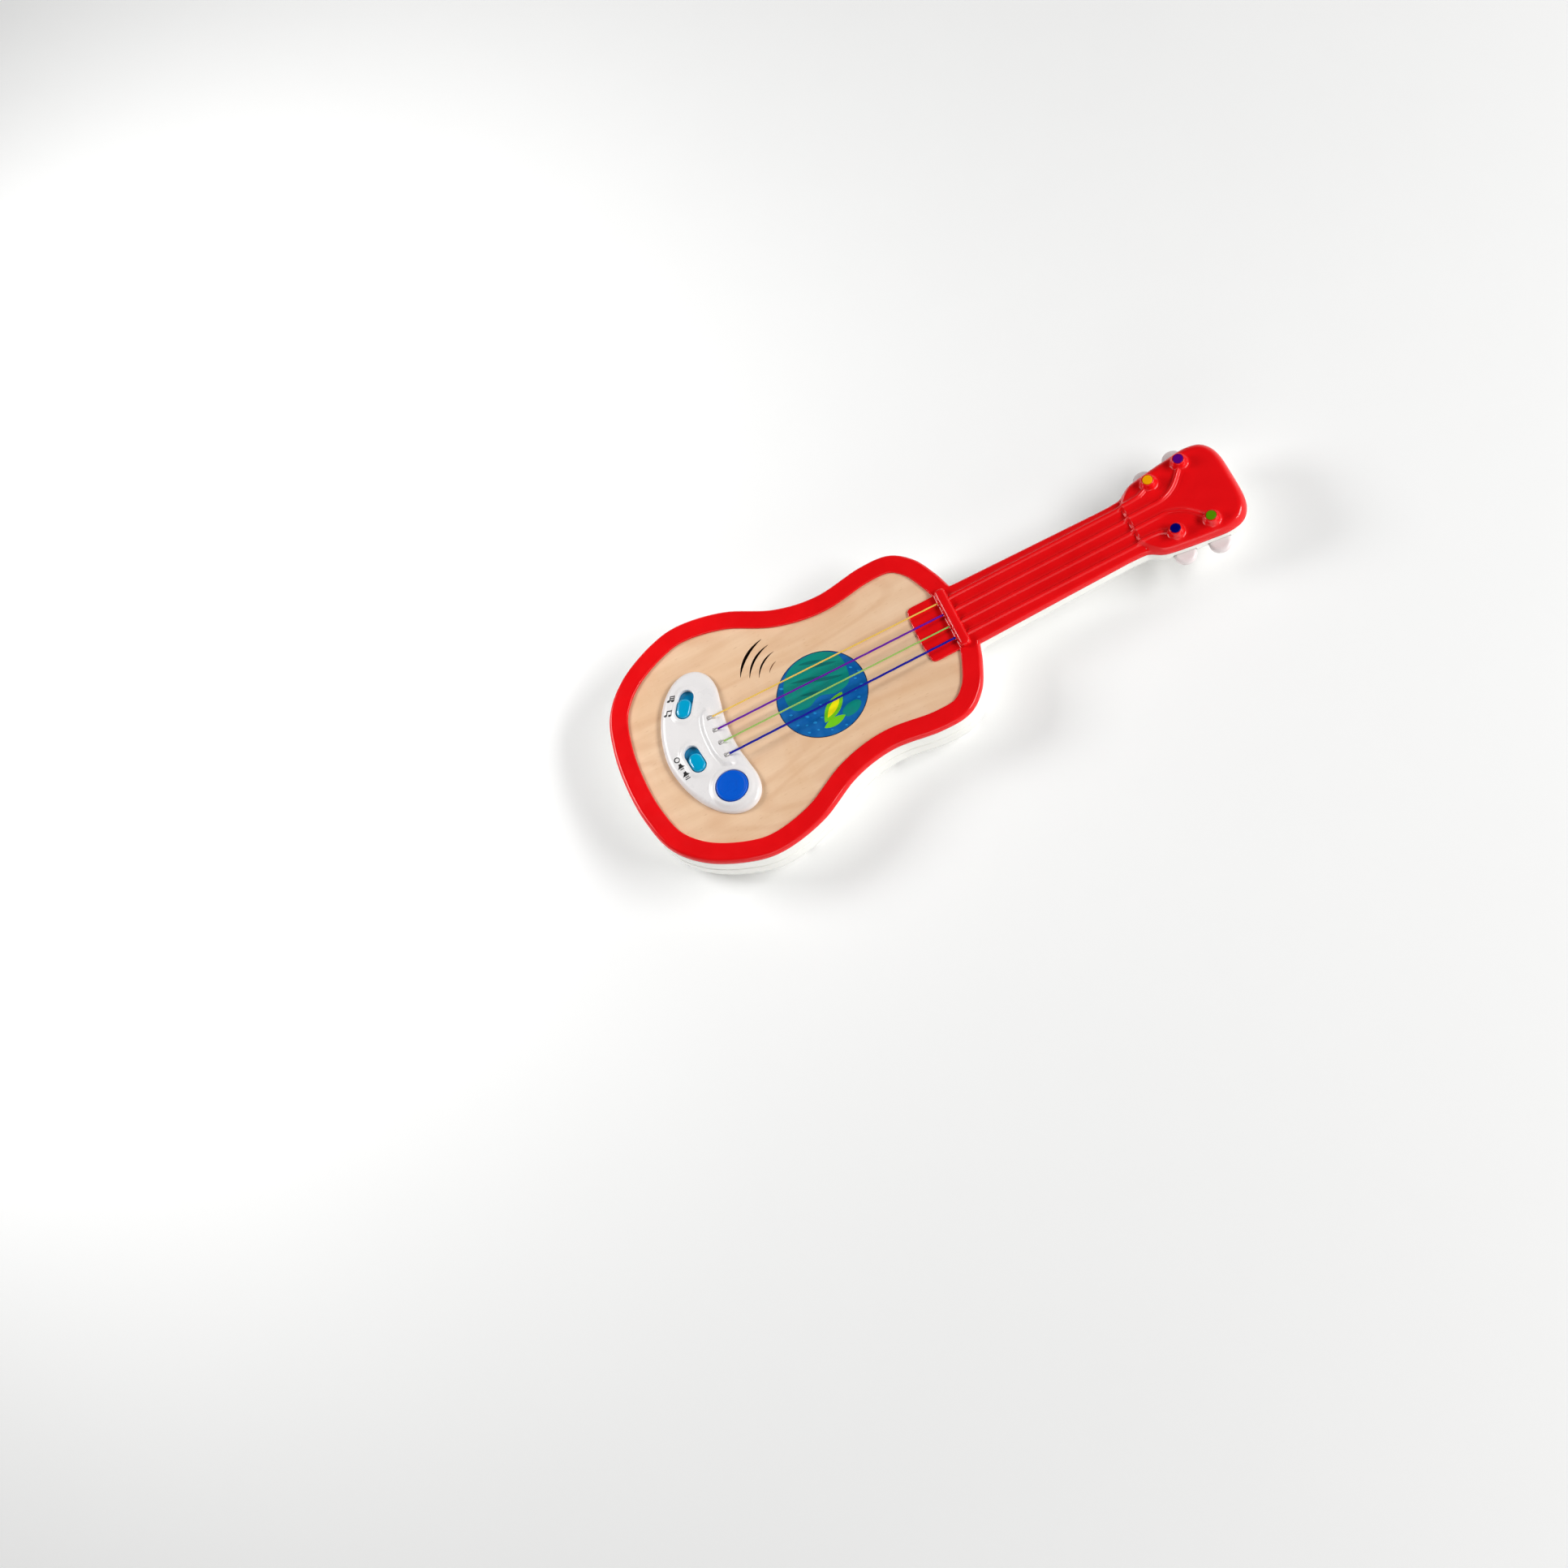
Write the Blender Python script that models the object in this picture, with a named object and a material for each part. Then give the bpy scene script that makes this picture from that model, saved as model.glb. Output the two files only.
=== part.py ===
"""Toy ukulele with a wooden face, a sound panel and four coloured strings.

It lies on its back: +Z comes out of the strings, +Y runs along the neck to the head, and the
origin is under the middle of the whole instrument. Numbers are millimetres until a mesh is made.
"""
import math

import bmesh
import bpy
from mathutils import Matrix, Vector

MM = 0.001
GAP = 0.3                       # clearance between pieces that touch

# Half outlines, from the bottom centre up the right-hand side
BODY_KNOTS = [(0, -206), (26, -204), (50, -197), (68.5, -180.5), (81, -156), (84.7, -134),
              (78.3, -105.5), (63.5, -77), (58.1, -50), (61.9, -20), (60.4, 0), (50, 13),
              (35, 20.7), (21.9, 25)]
HEAD_KNOTS = [(19.8, 126), (20.2, 136), (21.3, 140), (25.8, 147.6), (28.3, 159.8), (30.4, 175.3),
              (31.6, 188.8), (28.4, 199.2), (18.3, 205), (0, 206)]
PANEL_KNOTS = [(0, -177), (20, -174.2), (38, -165.5), (49.3, -153.5), (50.2, -141), (41, -130.4),
               (30, -129.6), (14, -132.4), (0, -133.6)]
RIDGE_KNOTS = [(0, -149), (10, -148.3), (18.5, -145.6), (21.3, -142)]
NECK_FOOT_X = 22.4              # where the neck starts inside the body
NECK_FOOT_Y = 8.0
NECK_TOP_Y = 126.0
NUT_Y = (136.0, 140.0)          # the head's face steps up between these
STEPS = 2                       # points from one knot to the next

# Heights
BACK_WALL_TOP = 28.85
FRONT_WALL_LOW = BACK_WALL_TOP + GAP
RIM_FACE = 33.0
HEAD_FACE = 35.5
RIM_UNDERSIDE = 31.5
HEAD_UNDERSIDE = 33.3
BOARD_TOP = RIM_UNDERSIDE - GAP
BOARD_THICK = 3.0
BOARD_LOW = BOARD_TOP - BOARD_THICK
NECK_BACK = 14.0
HEAD_BACK = 17.0
FLOOR = 2.2                     # thickness of the back's floor
WALL = 2.2

# Rim and soundboard, measured inwards from the outline
RIM_WIDTH = 12.4
BOARD_INSET = 10.6
TONGUE = [(20.2, 12), (20.2, -2.6), (19.4, -4.6), (17.6, -5.6), (9, -6.4), (0, -6.7)]

# Back edge: round radius and the wall's lean at its foot
BODY_ROUND = 13.0
NECK_ROUND = 10.0
HEAD_ROUND = 8.0
LEAN = 0.5

# Strings: x at the bar and at the bridge, and heights there
STRINGS = {"yellow": (-13.0, -13.9), "purple": (-4.5, -4.65), "green": (4.5, 4.65),
           "blue": (13.0, 13.9)}
STRING_R = 0.6
BAR_Y = (14.0, 21.0)
BAR_HALF = 21.0
BAR_TOP = 37.0
STRING_BAR_Y = 16.0
STRING_BAR_Z = 34.2
STRING_END_Y = -139.3
STRING_END_Z = 36.9

# Pegs and tuning knobs on the head
PEGS = {"purple": (-22.0, 181.3), "green": (22.0, 181.3), "yellow": (-18.8, 159.2),
        "blue": (18.8, 159.2)}
PEG_TOP = 40.9
DOT_R = 3.0
KNOBS = [(31.5, 180.2), (27.9, 158.8)]
KNOB_R = 7.0
KNOB_Z = (20.0, 25.0)
MOULDED_STRING_R = 1.4

# Control panel
PANEL_LOW = RIM_UNDERSIDE
PANEL_TOP = 35.5
PANEL_ROUND = 3.6
PANEL_CEILING = 33.7
COLLAR_TOP = 36.5
BUTTON = (33.5, -146.5)
BUTTON_R = 10.0
BUTTON_TRAVEL = 2.0
SLOT_R = 4.9
SLOT_HALF = 9.7
COLLAR_WIDTH = 2.9
SLIDER_R = 4.5
SLIDER_HALF = 6.4
SLIDER_TRAVEL = 5.6
SLOTS = {"mode": ((-30.3, -151.5), -33.0), "volume": ((6.2, -159.9), 7.0)}

# Electronics
PCB_LOW = 20.0
PCB_TOP = 21.6
PART_LOW = PCB_TOP + GAP
SWITCH_TOP = 26.4
STEM_LOW = 24.9
POSTS = [(-12.0, -143.0), (16.0, -144.0)]
PANEL_SCREWS = [(-36.0, -163.0), (36.0, -164.0)]
SPEAKER = (-36.0, -101.0)
SPEAKER_R = 20.0
SPEAKER_ARCS = [(30.3, 26.7, 1.9), (24.4, 29.3, 1.5), (18.4, 30.4, 1.2)]  # radius, half angle, width
ARC_CENTRE = (-19.2, -86.4)
ARC_MIDDLE = 218.0

# Battery bay
CELL_R = 5.25
CELL_LENGTH = 44.5
CELL_X = (-11.2, 0.0, 11.2)
CELL_MID_Y = -43.0
CELL_Z = 8.9
BAY_HALF_X = 17.4
BAY_Y = (-70.0, -16.0)
BAY_TOP = 15.5
DOOR_HALF_X = 23.0
DOOR_Y = (-73.0, -2.0)
DOOR_THICK = 1.8
DOOR_SCREW = (0.0, -8.0)

# Case screws: heights on the rim side, and places along the outline
CASE_INSET = 6.4
CASE_Y = (-190.0, -122.0, -52.0, 4.0)
CASE_MIDDLE = [(0.0, 72.0), (0.0, 193.0)]
SEAT_LOW = 20.0
SEAT_TOP = 24.0


# ---------------------------------------------------------------- outlines
def mirrored(point):
    return (-point[0], point[1])


def smooth(knots, before, after, steps=STEPS):
    """A curve through the knots; the points before and after steer its two ends."""
    run = [before, *knots, after]
    points = []
    for a, b, c, d in zip(run, run[1:], run[2:], run[3:]):
        for step in range(steps):
            t = step / steps
            points.append(tuple(
                0.5 * (2 * q + (r - p) * t + (2 * p - 5 * q + 4 * r - s) * t * t
                       + (3 * q - p - 3 * r + s) * t ** 3)
                for p, q, r, s in zip(a, b, c, d)))
    return points + [knots[-1]]


def both_sides(side):
    """A closed loop from its right-hand side, which starts and ends on the centre line."""
    return side + [(-x, y) for x, y in reversed(side[1:-1])]


def inset(loop, depth):
    """The loop moved inwards, by one depth or by one for each point."""
    depths = depth if isinstance(depth, list) else [depth] * len(loop)
    moved = []
    for i, point in enumerate(loop):
        here = Vector(point)
        arrive = (here - Vector(loop[i - 1])).normalized()
        leave = (Vector(loop[(i + 1) % len(loop)]) - here).normalized()
        inward = (arrive + leave).normalized().orthogonal()
        reach = depths[i] / max(0.5, inward.dot(arrive.orthogonal()))
        moved.append(tuple(here + inward * reach))
    return moved


def capsule(centre, half, radius, turn=0.0, steps=6):
    """A slot outline with round ends; half is from its middle to its tip."""
    turned_by = Matrix.Rotation(math.radians(turn), 2)
    points = []
    for end, start in ((1, -90), (-1, 90)):
        for step in range(steps + 1):
            angle = math.radians(start + 180 * step / steps)
            local = Vector((end * (half - radius) + radius * math.cos(angle),
                            radius * math.sin(angle)))
            points.append(tuple(turned_by @ local + Vector(centre)))
    return points


def circle(centre, radius, sides):
    return [(centre[0] + radius * math.cos(math.tau * i / sides),
             centre[1] + radius * math.sin(math.tau * i / sides)) for i in range(sides)]


def rectangle(low, high):
    return [low, (high[0], low[1]), high, (low[0], high[1])]


def arc_slot(radius, half_angle, width, steps=8):
    """A sound slot: an arc that thins to its two ends."""
    outer, inner = [], []
    for step in range(steps + 1):
        share = step / steps
        angle = math.radians(ARC_MIDDLE + half_angle * (2 * share - 1))
        half = 0.5 * width * (0.25 + 0.75 * math.sin(math.pi * share))
        for side, distance in ((outer, radius + half), (inner, radius - half)):
            side.append((ARC_CENTRE[0] + distance * math.cos(angle),
                         ARC_CENTRE[1] + distance * math.sin(angle)))
    return outer + inner[::-1]


def ramp(y, limits, low, high):
    """A value that goes from low to high as y crosses the limits."""
    share = min(1.0, max(0.0, (y - limits[0]) / (limits[1] - limits[0])))
    return low + (high - low) * share


BODY_SIDE = smooth(BODY_KNOTS, mirrored(BODY_KNOTS[1]), (9, 29))
HEAD_SIDE = smooth(HEAD_KNOTS, (20, 118), mirrored(HEAD_KNOTS[-2]))
BODY_LOOP = both_sides(BODY_SIDE + [(0, BODY_SIDE[-1][1] + 2)])
WHOLE_LOOP = both_sides(BODY_SIDE + HEAD_SIDE)
NECK_LOOP = both_sides([(0, NECK_FOOT_Y - 2), (NECK_FOOT_X, NECK_FOOT_Y)] + HEAD_SIDE)


def rim_points():
    """Centres of the case screws round the body."""
    side = inset(BODY_LOOP, CASE_INSET)[:len(BODY_SIDE)]
    found = []
    for y in CASE_Y:
        for a, b in zip(side, side[1:]):
            if a[1] <= y < b[1]:
                x = ramp(y, (a[1], b[1]), a[0], b[0])
                found += [(x, y), (-x, y)]
    return found


CASE_SCREWS = rim_points() + CASE_MIDDLE


# ---------------------------------------------------------------- meshes
def skin(bm, rings):
    """Join rings of points into a surface, and return the rings' vertices."""
    made = [[bm.verts.new(point) for point in ring] for ring in rings]
    for low, high in zip(made, made[1:]):
        for i in range(len(low)):
            j = (i + 1) % len(low)
            bm.faces.new((low[i], low[j], high[j], high[i]))
    return made


def close_by_strips(bm, ring):
    """Fill a ring that is the same on both sides with strips from side to side."""
    count = len(ring)
    for i in range(count // 2):
        corners = [ring[i], ring[i + 1], ring[count - i - 1], ring[(count - i) % count]]
        bm.faces.new(list(dict.fromkeys(corners)))


def stack(bm, rings):
    """A closed solid from flat rings, with flat ends."""
    made = skin(bm, rings)
    bm.faces.new(made[0])
    bm.faces.new(made[-1])


def level(loop, z):
    return [(x, y, z) for x, y in loop]


def prism(bm, loop, low, high):
    stack(bm, [level(loop, low), level(loop, high)])


def block(bm, low, high):
    prism(bm, rectangle(low[:2], high[:2]), low[2], high[2])


def turned(bm, profile, centre, sides=16, hollow=False, place=None):
    """A round piece from (radius, height) pairs; a hollow one has a closed profile."""
    rings = []
    for radius, height in profile:
        points = circle((0, 0), radius, sides) if radius else [(0, 0)]
        spots = [Vector((x, y, height)) for x, y in points]
        if place:
            spots = [place @ spot for spot in spots]
        rings.append([bm.verts.new(spot + Vector(centre)) for spot in spots])
    pairs = list(zip(rings, rings[1:]))
    if hollow:
        pairs.append((rings[-1], rings[0]))
    for low, high in pairs:
        for i in range(sides):
            j = (i + 1) % sides
            corners = [low[i % len(low)], low[j % len(low)], high[j % len(high)],
                       high[i % len(high)]]
            corners = list(dict.fromkeys(corners))
            if len(corners) > 2:
                bm.faces.new(corners)


def rod(bm, points, radius, sides=8):
    """A round tube along a run of points, with flat ends."""
    spots = [Vector(point) for point in points]
    rings = []
    for i, spot in enumerate(spots):
        ahead = (spots[min(i + 1, len(spots) - 1)] - spots[max(i - 1, 0)]).normalized()
        across = ahead.cross(Vector((0, 0, 1))).normalized()
        up = across.cross(ahead)
        rings.append([spot + radius * (across * math.cos(angle) + up * math.sin(angle))
                      for angle in (math.tau * (k + 0.5) / sides for k in range(sides))])
    stack(bm, rings)


# ---------------------------------------------------------------- objects
def material(name, colour, roughness, metallic=0.0):
    """A finish from a display colour of 0 to 255."""
    linear = []
    for value in colour:
        share = value / 255
        linear.append(share / 12.92 if share <= 0.04045 else ((share + 0.055) / 1.055) ** 2.4)
    made = bpy.data.materials.new(name)
    made.use_nodes = True
    shader = made.node_tree.nodes["Principled BSDF"]
    shader.inputs["Base Color"].default_value = (*linear, 1.0)
    shader.inputs["Roughness"].default_value = roughness
    shader.inputs["Metallic"].default_value = metallic
    return made


def new_object(name, bm):
    """Turn millimetres into a mesh object in metres, faces pointing out."""
    bmesh.ops.recalc_face_normals(bm, faces=bm.faces)
    bmesh.ops.scale(bm, vec=(MM, MM, MM), verts=bm.verts)
    mesh = bpy.data.meshes.new(name)
    bm.to_mesh(mesh)
    bm.free()
    made = bpy.data.objects.new(name, mesh)
    bpy.context.scene.collection.objects.link(made)
    return made


def piece(name, bm, look, origin=(0, 0, 0)):
    """A sub-part; its origin is a point in millimetres."""
    made = new_object(name, bm)
    spot = Vector(origin) * MM
    made.data.transform(Matrix.Translation(-spot))
    made.location = spot
    made.data.materials.append(look)
    made.data.shade_smooth()
    made.data.set_sharp_from_angle(angle=math.radians(35))
    return made


def combine(target, name, operation, build):
    """Cut away, or add, what build draws, and return the tool that does it."""
    bm = bmesh.new()
    build(bm)
    tool = new_object(f"{target.name}_{name}", bm)
    tool.hide_render = True
    tool.display_type = "WIRE"
    change = target.modifiers.new(name, "BOOLEAN")
    change.operation = operation
    change.object = tool
    return tool


# ---------------------------------------------------------------- front shell
def front_shell(look):
    """Red moulding: rim, neck, head and the tongue that laps the wood."""
    radii = []
    faces = []
    ceilings = []
    for _, y in WHOLE_LOOP:
        radii.append(ramp(y, (25, 35), 2.0, 2.6) + ramp(y, NUT_Y, 0, 2.2))
        faces.append(ramp(y, NUT_Y, RIM_FACE, HEAD_FACE))
        ceilings.append(ramp(y, NUT_Y, RIM_UNDERSIDE, HEAD_UNDERSIDE))
    inner = inset(WHOLE_LOOP, WALL)
    rings = [[(x, y, z) for (x, y), z in zip(inner, ceilings)],
             level(inner, FRONT_WALL_LOW), level(WHOLE_LOOP, FRONT_WALL_LOW)]
    for angle in (0, 45, 90):
        out, up = math.cos(math.radians(angle)), math.sin(math.radians(angle))
        loop = inset(WHOLE_LOOP, [radius * (1 - out) for radius in radii])
        rings.append([(x, y, face - radius * (1 - up))
                      for (x, y), face, radius in zip(loop, faces, radii)])
    bm = bmesh.new()
    made = skin(bm, rings)
    close_by_strips(bm, made[0])
    close_by_strips(bm, made[-1])
    shell = piece("front_shell", bm, look)
    combine(shell, "opening", "DIFFERENCE", soundboard_opening)
    combine(shell, "moulded_strings", "UNION", moulded_strings)
    combine(shell, "pegs", "UNION", peg_bosses)
    combine(shell, "bosses", "UNION", front_bosses)
    combine(shell, "holes", "DIFFERENCE", front_holes)


def soundboard_opening(bm):
    side = [point for point in inset(BODY_LOOP, RIM_WIDTH)[:len(BODY_SIDE)]
            if point[0] > TONGUE[0][0] + 0.3 or point[1] < 0]
    prism(bm, both_sides(side + TONGUE), BOARD_LOW, RIM_FACE + 1)


def moulded_strings(bm):
    """Half-round strings moulded on the neck, which curve out to the pegs."""
    neck_z, head_z = RIM_FACE + 0.05, HEAD_FACE + 0.05
    for x, path in ((4.5, [(4.5, 152), (5, 161), (9.5, 170.5), (18.5, 179)]),
                    (13.5, [(13.7, 146), (14.4, 150.5), (16.6, 155.5)])):
        for side in (1, -1):
            run = [(side * x, BAR_Y[1] + GAP, neck_z), (side * x, NUT_Y[0], neck_z)]
            route = smooth([(x, NUT_Y[1]), *path], (x, NUT_Y[0]), path[-1], 2)
            run += [(side * a, b, head_z) for a, b in route]
            rod(bm, run, MOULDED_STRING_R)


def peg_bosses(bm):
    profile = [(0, 34.2), (5.2, 34.2), (5.2, 35.9), (4.7, 38.2), (4.3, 40), (3.8, PEG_TOP),
               (0, PEG_TOP)]
    for x, y in PEGS.values():
        turned(bm, profile, (x, y, 0))


def front_bosses(bm):
    for x, y in CASE_SCREWS:
        top = HEAD_UNDERSIDE + 0.8 if y > NUT_Y[1] else RIM_UNDERSIDE + 0.8
        turned(bm, [(0, SEAT_TOP + GAP), (3.2, SEAT_TOP + GAP), (3.2, top), (0, top)], (x, y, 0), 8)


def front_holes(bm):
    for x, y in CASE_SCREWS:
        turned(bm, [(0, SEAT_TOP), (1.7, SEAT_TOP), (1.7, 30.5), (0, 30.5)], (x, y, 0), 8)
    for x, y in PEGS.values():
        turned(bm, [(0, PEG_TOP - 1), (DOT_R + GAP, PEG_TOP - 1), (DOT_R + GAP, PEG_TOP + 1),
                    (0, PEG_TOP + 1)], (x, y, 0), 16)


# ---------------------------------------------------------------- back shell
def tray(bm, loop, back, round_radius, top, thick=0.0):
    """A block with a round lower edge; thick shrinks it to make the room inside."""
    outline = inset(loop, thick) if thick else loop
    backs = [back(y) + thick for _, y in loop]
    radii = [max(1.0, round_radius(y) - thick) for _, y in loop]
    rings = [level(outline, top)]
    for angle in (0, 45, 90) if thick else (0, 30, 60, 90):
        out, down = math.cos(math.radians(angle)), math.sin(math.radians(angle))
        ring = inset(outline, [LEAN + radius * (1 - out) for radius in radii])
        rings.append([(x, y, low + radius * (1 - down))
                      for (x, y), low, radius in zip(ring, backs, radii)])
    made = skin(bm, rings)
    close_by_strips(bm, made[0])
    close_by_strips(bm, made[-1])


def body_back(_):
    return 0.0


def body_round(_):
    return BODY_ROUND


def neck_back(y):
    return ramp(y, (NUT_Y[0], 150), NECK_BACK, HEAD_BACK)


def neck_round(y):
    return ramp(y, (NUT_Y[0], 150), NECK_ROUND, HEAD_ROUND)


def back_shell(look):
    """White moulding: a deep tray for the body, a shallow one for the neck and head."""
    bm = bmesh.new()
    tray(bm, BODY_LOOP, body_back, body_round, BACK_WALL_TOP + 1)
    shell = piece("back_shell", bm, look)
    combine(shell, "neck", "UNION",
            lambda bm: tray(bm, NECK_LOOP, neck_back, neck_round, BACK_WALL_TOP + 2))
    combine(shell, "trim", "DIFFERENCE",
            lambda bm: block(bm, (-100, -220, BACK_WALL_TOP), (100, 220, BACK_WALL_TOP + 12)))
    room = combine(shell, "room", "DIFFERENCE",
                   lambda bm: tray(bm, BODY_LOOP, body_back, body_round, 40, FLOOR))
    combine(room, "inside", "DIFFERENCE", kept_in_body)
    neck_room = combine(shell, "neck_room", "DIFFERENCE",
                        lambda bm: tray(bm, NECK_LOOP, neck_back, neck_round, 41, 2.0))
    combine(neck_room, "tubes", "DIFFERENCE", lambda bm: tubes(bm, CASE_MIDDLE))
    combine(shell, "door_recess", "DIFFERENCE",
            lambda bm: block(bm, (-DOOR_HALF_X - GAP, DOOR_Y[0] - GAP, -1),
                             (DOOR_HALF_X + GAP, DOOR_Y[1] + GAP, DOOR_THICK + GAP)))
    combine(shell, "bay_room", "DIFFERENCE", bay_room)
    combine(shell, "cuts", "DIFFERENCE", back_cuts)


def tubes(bm, spots):
    for x, y in spots:
        turned(bm, [(0, -2), (4.0, -2), (4.0, SEAT_TOP), (0, SEAT_TOP)], (x, y, 0), 10)


def kept_in_body(bm):
    """Screw tubes, posts that hold the soundboard up, and the battery door's frame."""
    tubes(bm, CASE_SCREWS[:-len(CASE_MIDDLE)])
    for x, y in ((60, -150), (38, -18)):
        for side in (1, -1):
            turned(bm, [(0, -2), (3, -2), (3, BOARD_LOW - GAP), (0, BOARD_LOW - GAP)],
                   (side * x, y, 0), 8)
    block(bm, (-DOOR_HALF_X - 2, DOOR_Y[0] - 3, -3), (DOOR_HALF_X + 2, DOOR_Y[1] + 2, 4.4))


def back_cuts(bm):
    """Screw counterbores and knob slots."""
    for x, y in CASE_SCREWS:
        turned(bm, [(0, -1), (3.1, -1), (3.1, SEAT_LOW), (1.7, SEAT_LOW), (1.7, 25), (0, 25)],
               (x, y, 0), 10)
    for x, y in KNOBS:
        for side in (1, -1):
            prism(bm, circle((side * x, y), KNOB_R + GAP, 16), KNOB_Z[0] - GAP, KNOB_Z[1] + GAP)


def bay_room(bm):
    """Room for the cells, the door's tabs and its screw."""
    block(bm, (-BAY_HALF_X, BAY_Y[0], 1), (BAY_HALF_X, BAY_Y[1], 6))
    for side in (1, -1):
        block(bm, (side * 12 - 4.5, DOOR_Y[0] - 2.3, 0.6), (side * 12 + 4.5, DOOR_Y[0] + 1.4, 2.9))
    turned(bm, [(0, 1), (5.0, 1), (5.0, 6), (0, 6)], (*DOOR_SCREW, 0), 16)


def battery_box(look):
    """Cup over the cells, with the nut boss for the door's screw."""
    low = 4.4 + GAP
    bm = bmesh.new()
    block(bm, (-BAY_HALF_X - 1.6, BAY_Y[0] - 1.6, low), (BAY_HALF_X + 1.6, BAY_Y[1] + 1.6, 17.1))
    cup = piece("battery_box", bm, look)

    def boss(bm):
        block(bm, (-5.4, BAY_Y[1] + 0.6, low), (5.4, -1.5, 7.4))
        turned(bm, [(0, low), (4.4, low), (4.4, 14), (0, 14)], (*DOOR_SCREW, 0), 16)

    def room(bm):
        block(bm, (-BAY_HALF_X, BAY_Y[0], 4), (BAY_HALF_X, BAY_Y[1], BAY_TOP))
        turned(bm, [(0, 4), (2.2, 4), (2.2, 12.8), (0, 12.8)], (*DOOR_SCREW, 0), 12)

    combine(cup, "boss", "UNION", boss)
    combine(cup, "room", "DIFFERENCE", room)


# ---------------------------------------------------------------- soundboard and bar
def soundboard(look):
    bm = bmesh.new()
    prism(bm, inset(BODY_LOOP, BOARD_INSET), BOARD_LOW, BOARD_TOP)
    board = piece("soundboard", bm, look)

    def holes(bm):
        low, high = BOARD_LOW - 1, BOARD_TOP + 1
        for arc in SPEAKER_ARCS:
            prism(bm, arc_slot(*arc), low, high)
        for centre, turn in SLOTS.values():
            prism(bm, capsule(centre, 6.4, 2.7, turn, 3), low, high)
        prism(bm, circle(BUTTON, 12.5, 24), low, high)
        for post in POSTS:
            prism(bm, circle(post, 3.3, 10), low, high)
        for spot in PANEL_SCREWS:
            prism(bm, circle(spot, 1.6, 8), low, high)

    combine(board, "holes", "DIFFERENCE", holes)


def string_bar(look):
    """Round-topped bar that the strings come out of."""
    front, back = BAR_Y
    low = RIM_FACE + GAP
    profile = [(front, low), (back, low), (back, 35.2), (back - 1.2, 36.4), (back - 3, BAR_TOP),
               (front + 2.4, BAR_TOP), (front + 0.8, 36.4), (front, 35.2)]
    bm = bmesh.new()
    stack(bm, [[(x, y * shrink + 17.5 * (1 - shrink), low + (z - low) * shrink)
                for y, z in profile]
               for x, shrink in ((-BAR_HALF, 0.72), (-BAR_HALF + 1.5, 1), (BAR_HALF - 1.5, 1),
                                 (BAR_HALF, 0.72))])
    bar = piece("string_bar", bm, look)

    def notches(bm):
        for x, _ in STRINGS.values():
            block(bm, (x - 1, front - 1, low - 1), (x + 1, STRING_BAR_Y + 1, STRING_BAR_Z + 1))

    combine(bar, "notches", "DIFFERENCE", notches)


def strings(looks, metal):
    along_y = Matrix.Rotation(math.radians(90), 3, "X")
    for number, (name, (bar_x, end_x)) in enumerate(STRINGS.items(), 1):
        bm = bmesh.new()
        rod(bm, [(end_x, STRING_END_Y, STRING_END_Z), (bar_x, STRING_BAR_Y, STRING_BAR_Z)], STRING_R)
        piece(f"string_{name}", bm, looks[name])
        bm = bmesh.new()
        turned(bm, [(0, 0), (0.75, 0), (1.25, 1.6), (1.25, 2.8), (0, 2.8)],
               (end_x, STRING_END_Y - GAP, STRING_END_Z), 10, place=along_y)
        piece(f"string_ferrule_{number}", bm, metal)


# ---------------------------------------------------------------- head
def peg_dots(looks):
    for name, (x, y) in PEGS.items():
        bm = bmesh.new()
        low = PEG_TOP - 1 + GAP
        turned(bm, [(0, low), (DOT_R, low), (DOT_R, PEG_TOP), (DOT_R - 0.4, PEG_TOP + 0.2),
                    (0, PEG_TOP + 0.2)], (x, y, 0), 16)
        piece(f"peg_dot_{name}", bm, looks[name])


def tuning_knobs(look):
    spots = [(side * x, y) for x, y in KNOBS for side in (-1, 1)]
    for number, (x, y) in enumerate(spots, 1):
        bm = bmesh.new()
        low, high = KNOB_Z
        turned(bm, [(0, low), (KNOB_R - 0.8, low), (KNOB_R, low + 0.8), (KNOB_R, high - 0.6),
                    (KNOB_R - 0.6, high), (KNOB_R - 1.4, high), (0, high - 0.5)], (x, y, 0), 20)
        piece(f"tuning_knob_{number}", bm, look)


# ---------------------------------------------------------------- control panel
def panel_rings(loop, top, radius):
    rings = []
    for angle in (0, 30, 60, 90):
        out, up = math.cos(math.radians(angle)), math.sin(math.radians(angle))
        rings.append(level(inset(loop, radius * (1 - out)), top - radius * (1 - up)))
    return rings


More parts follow.
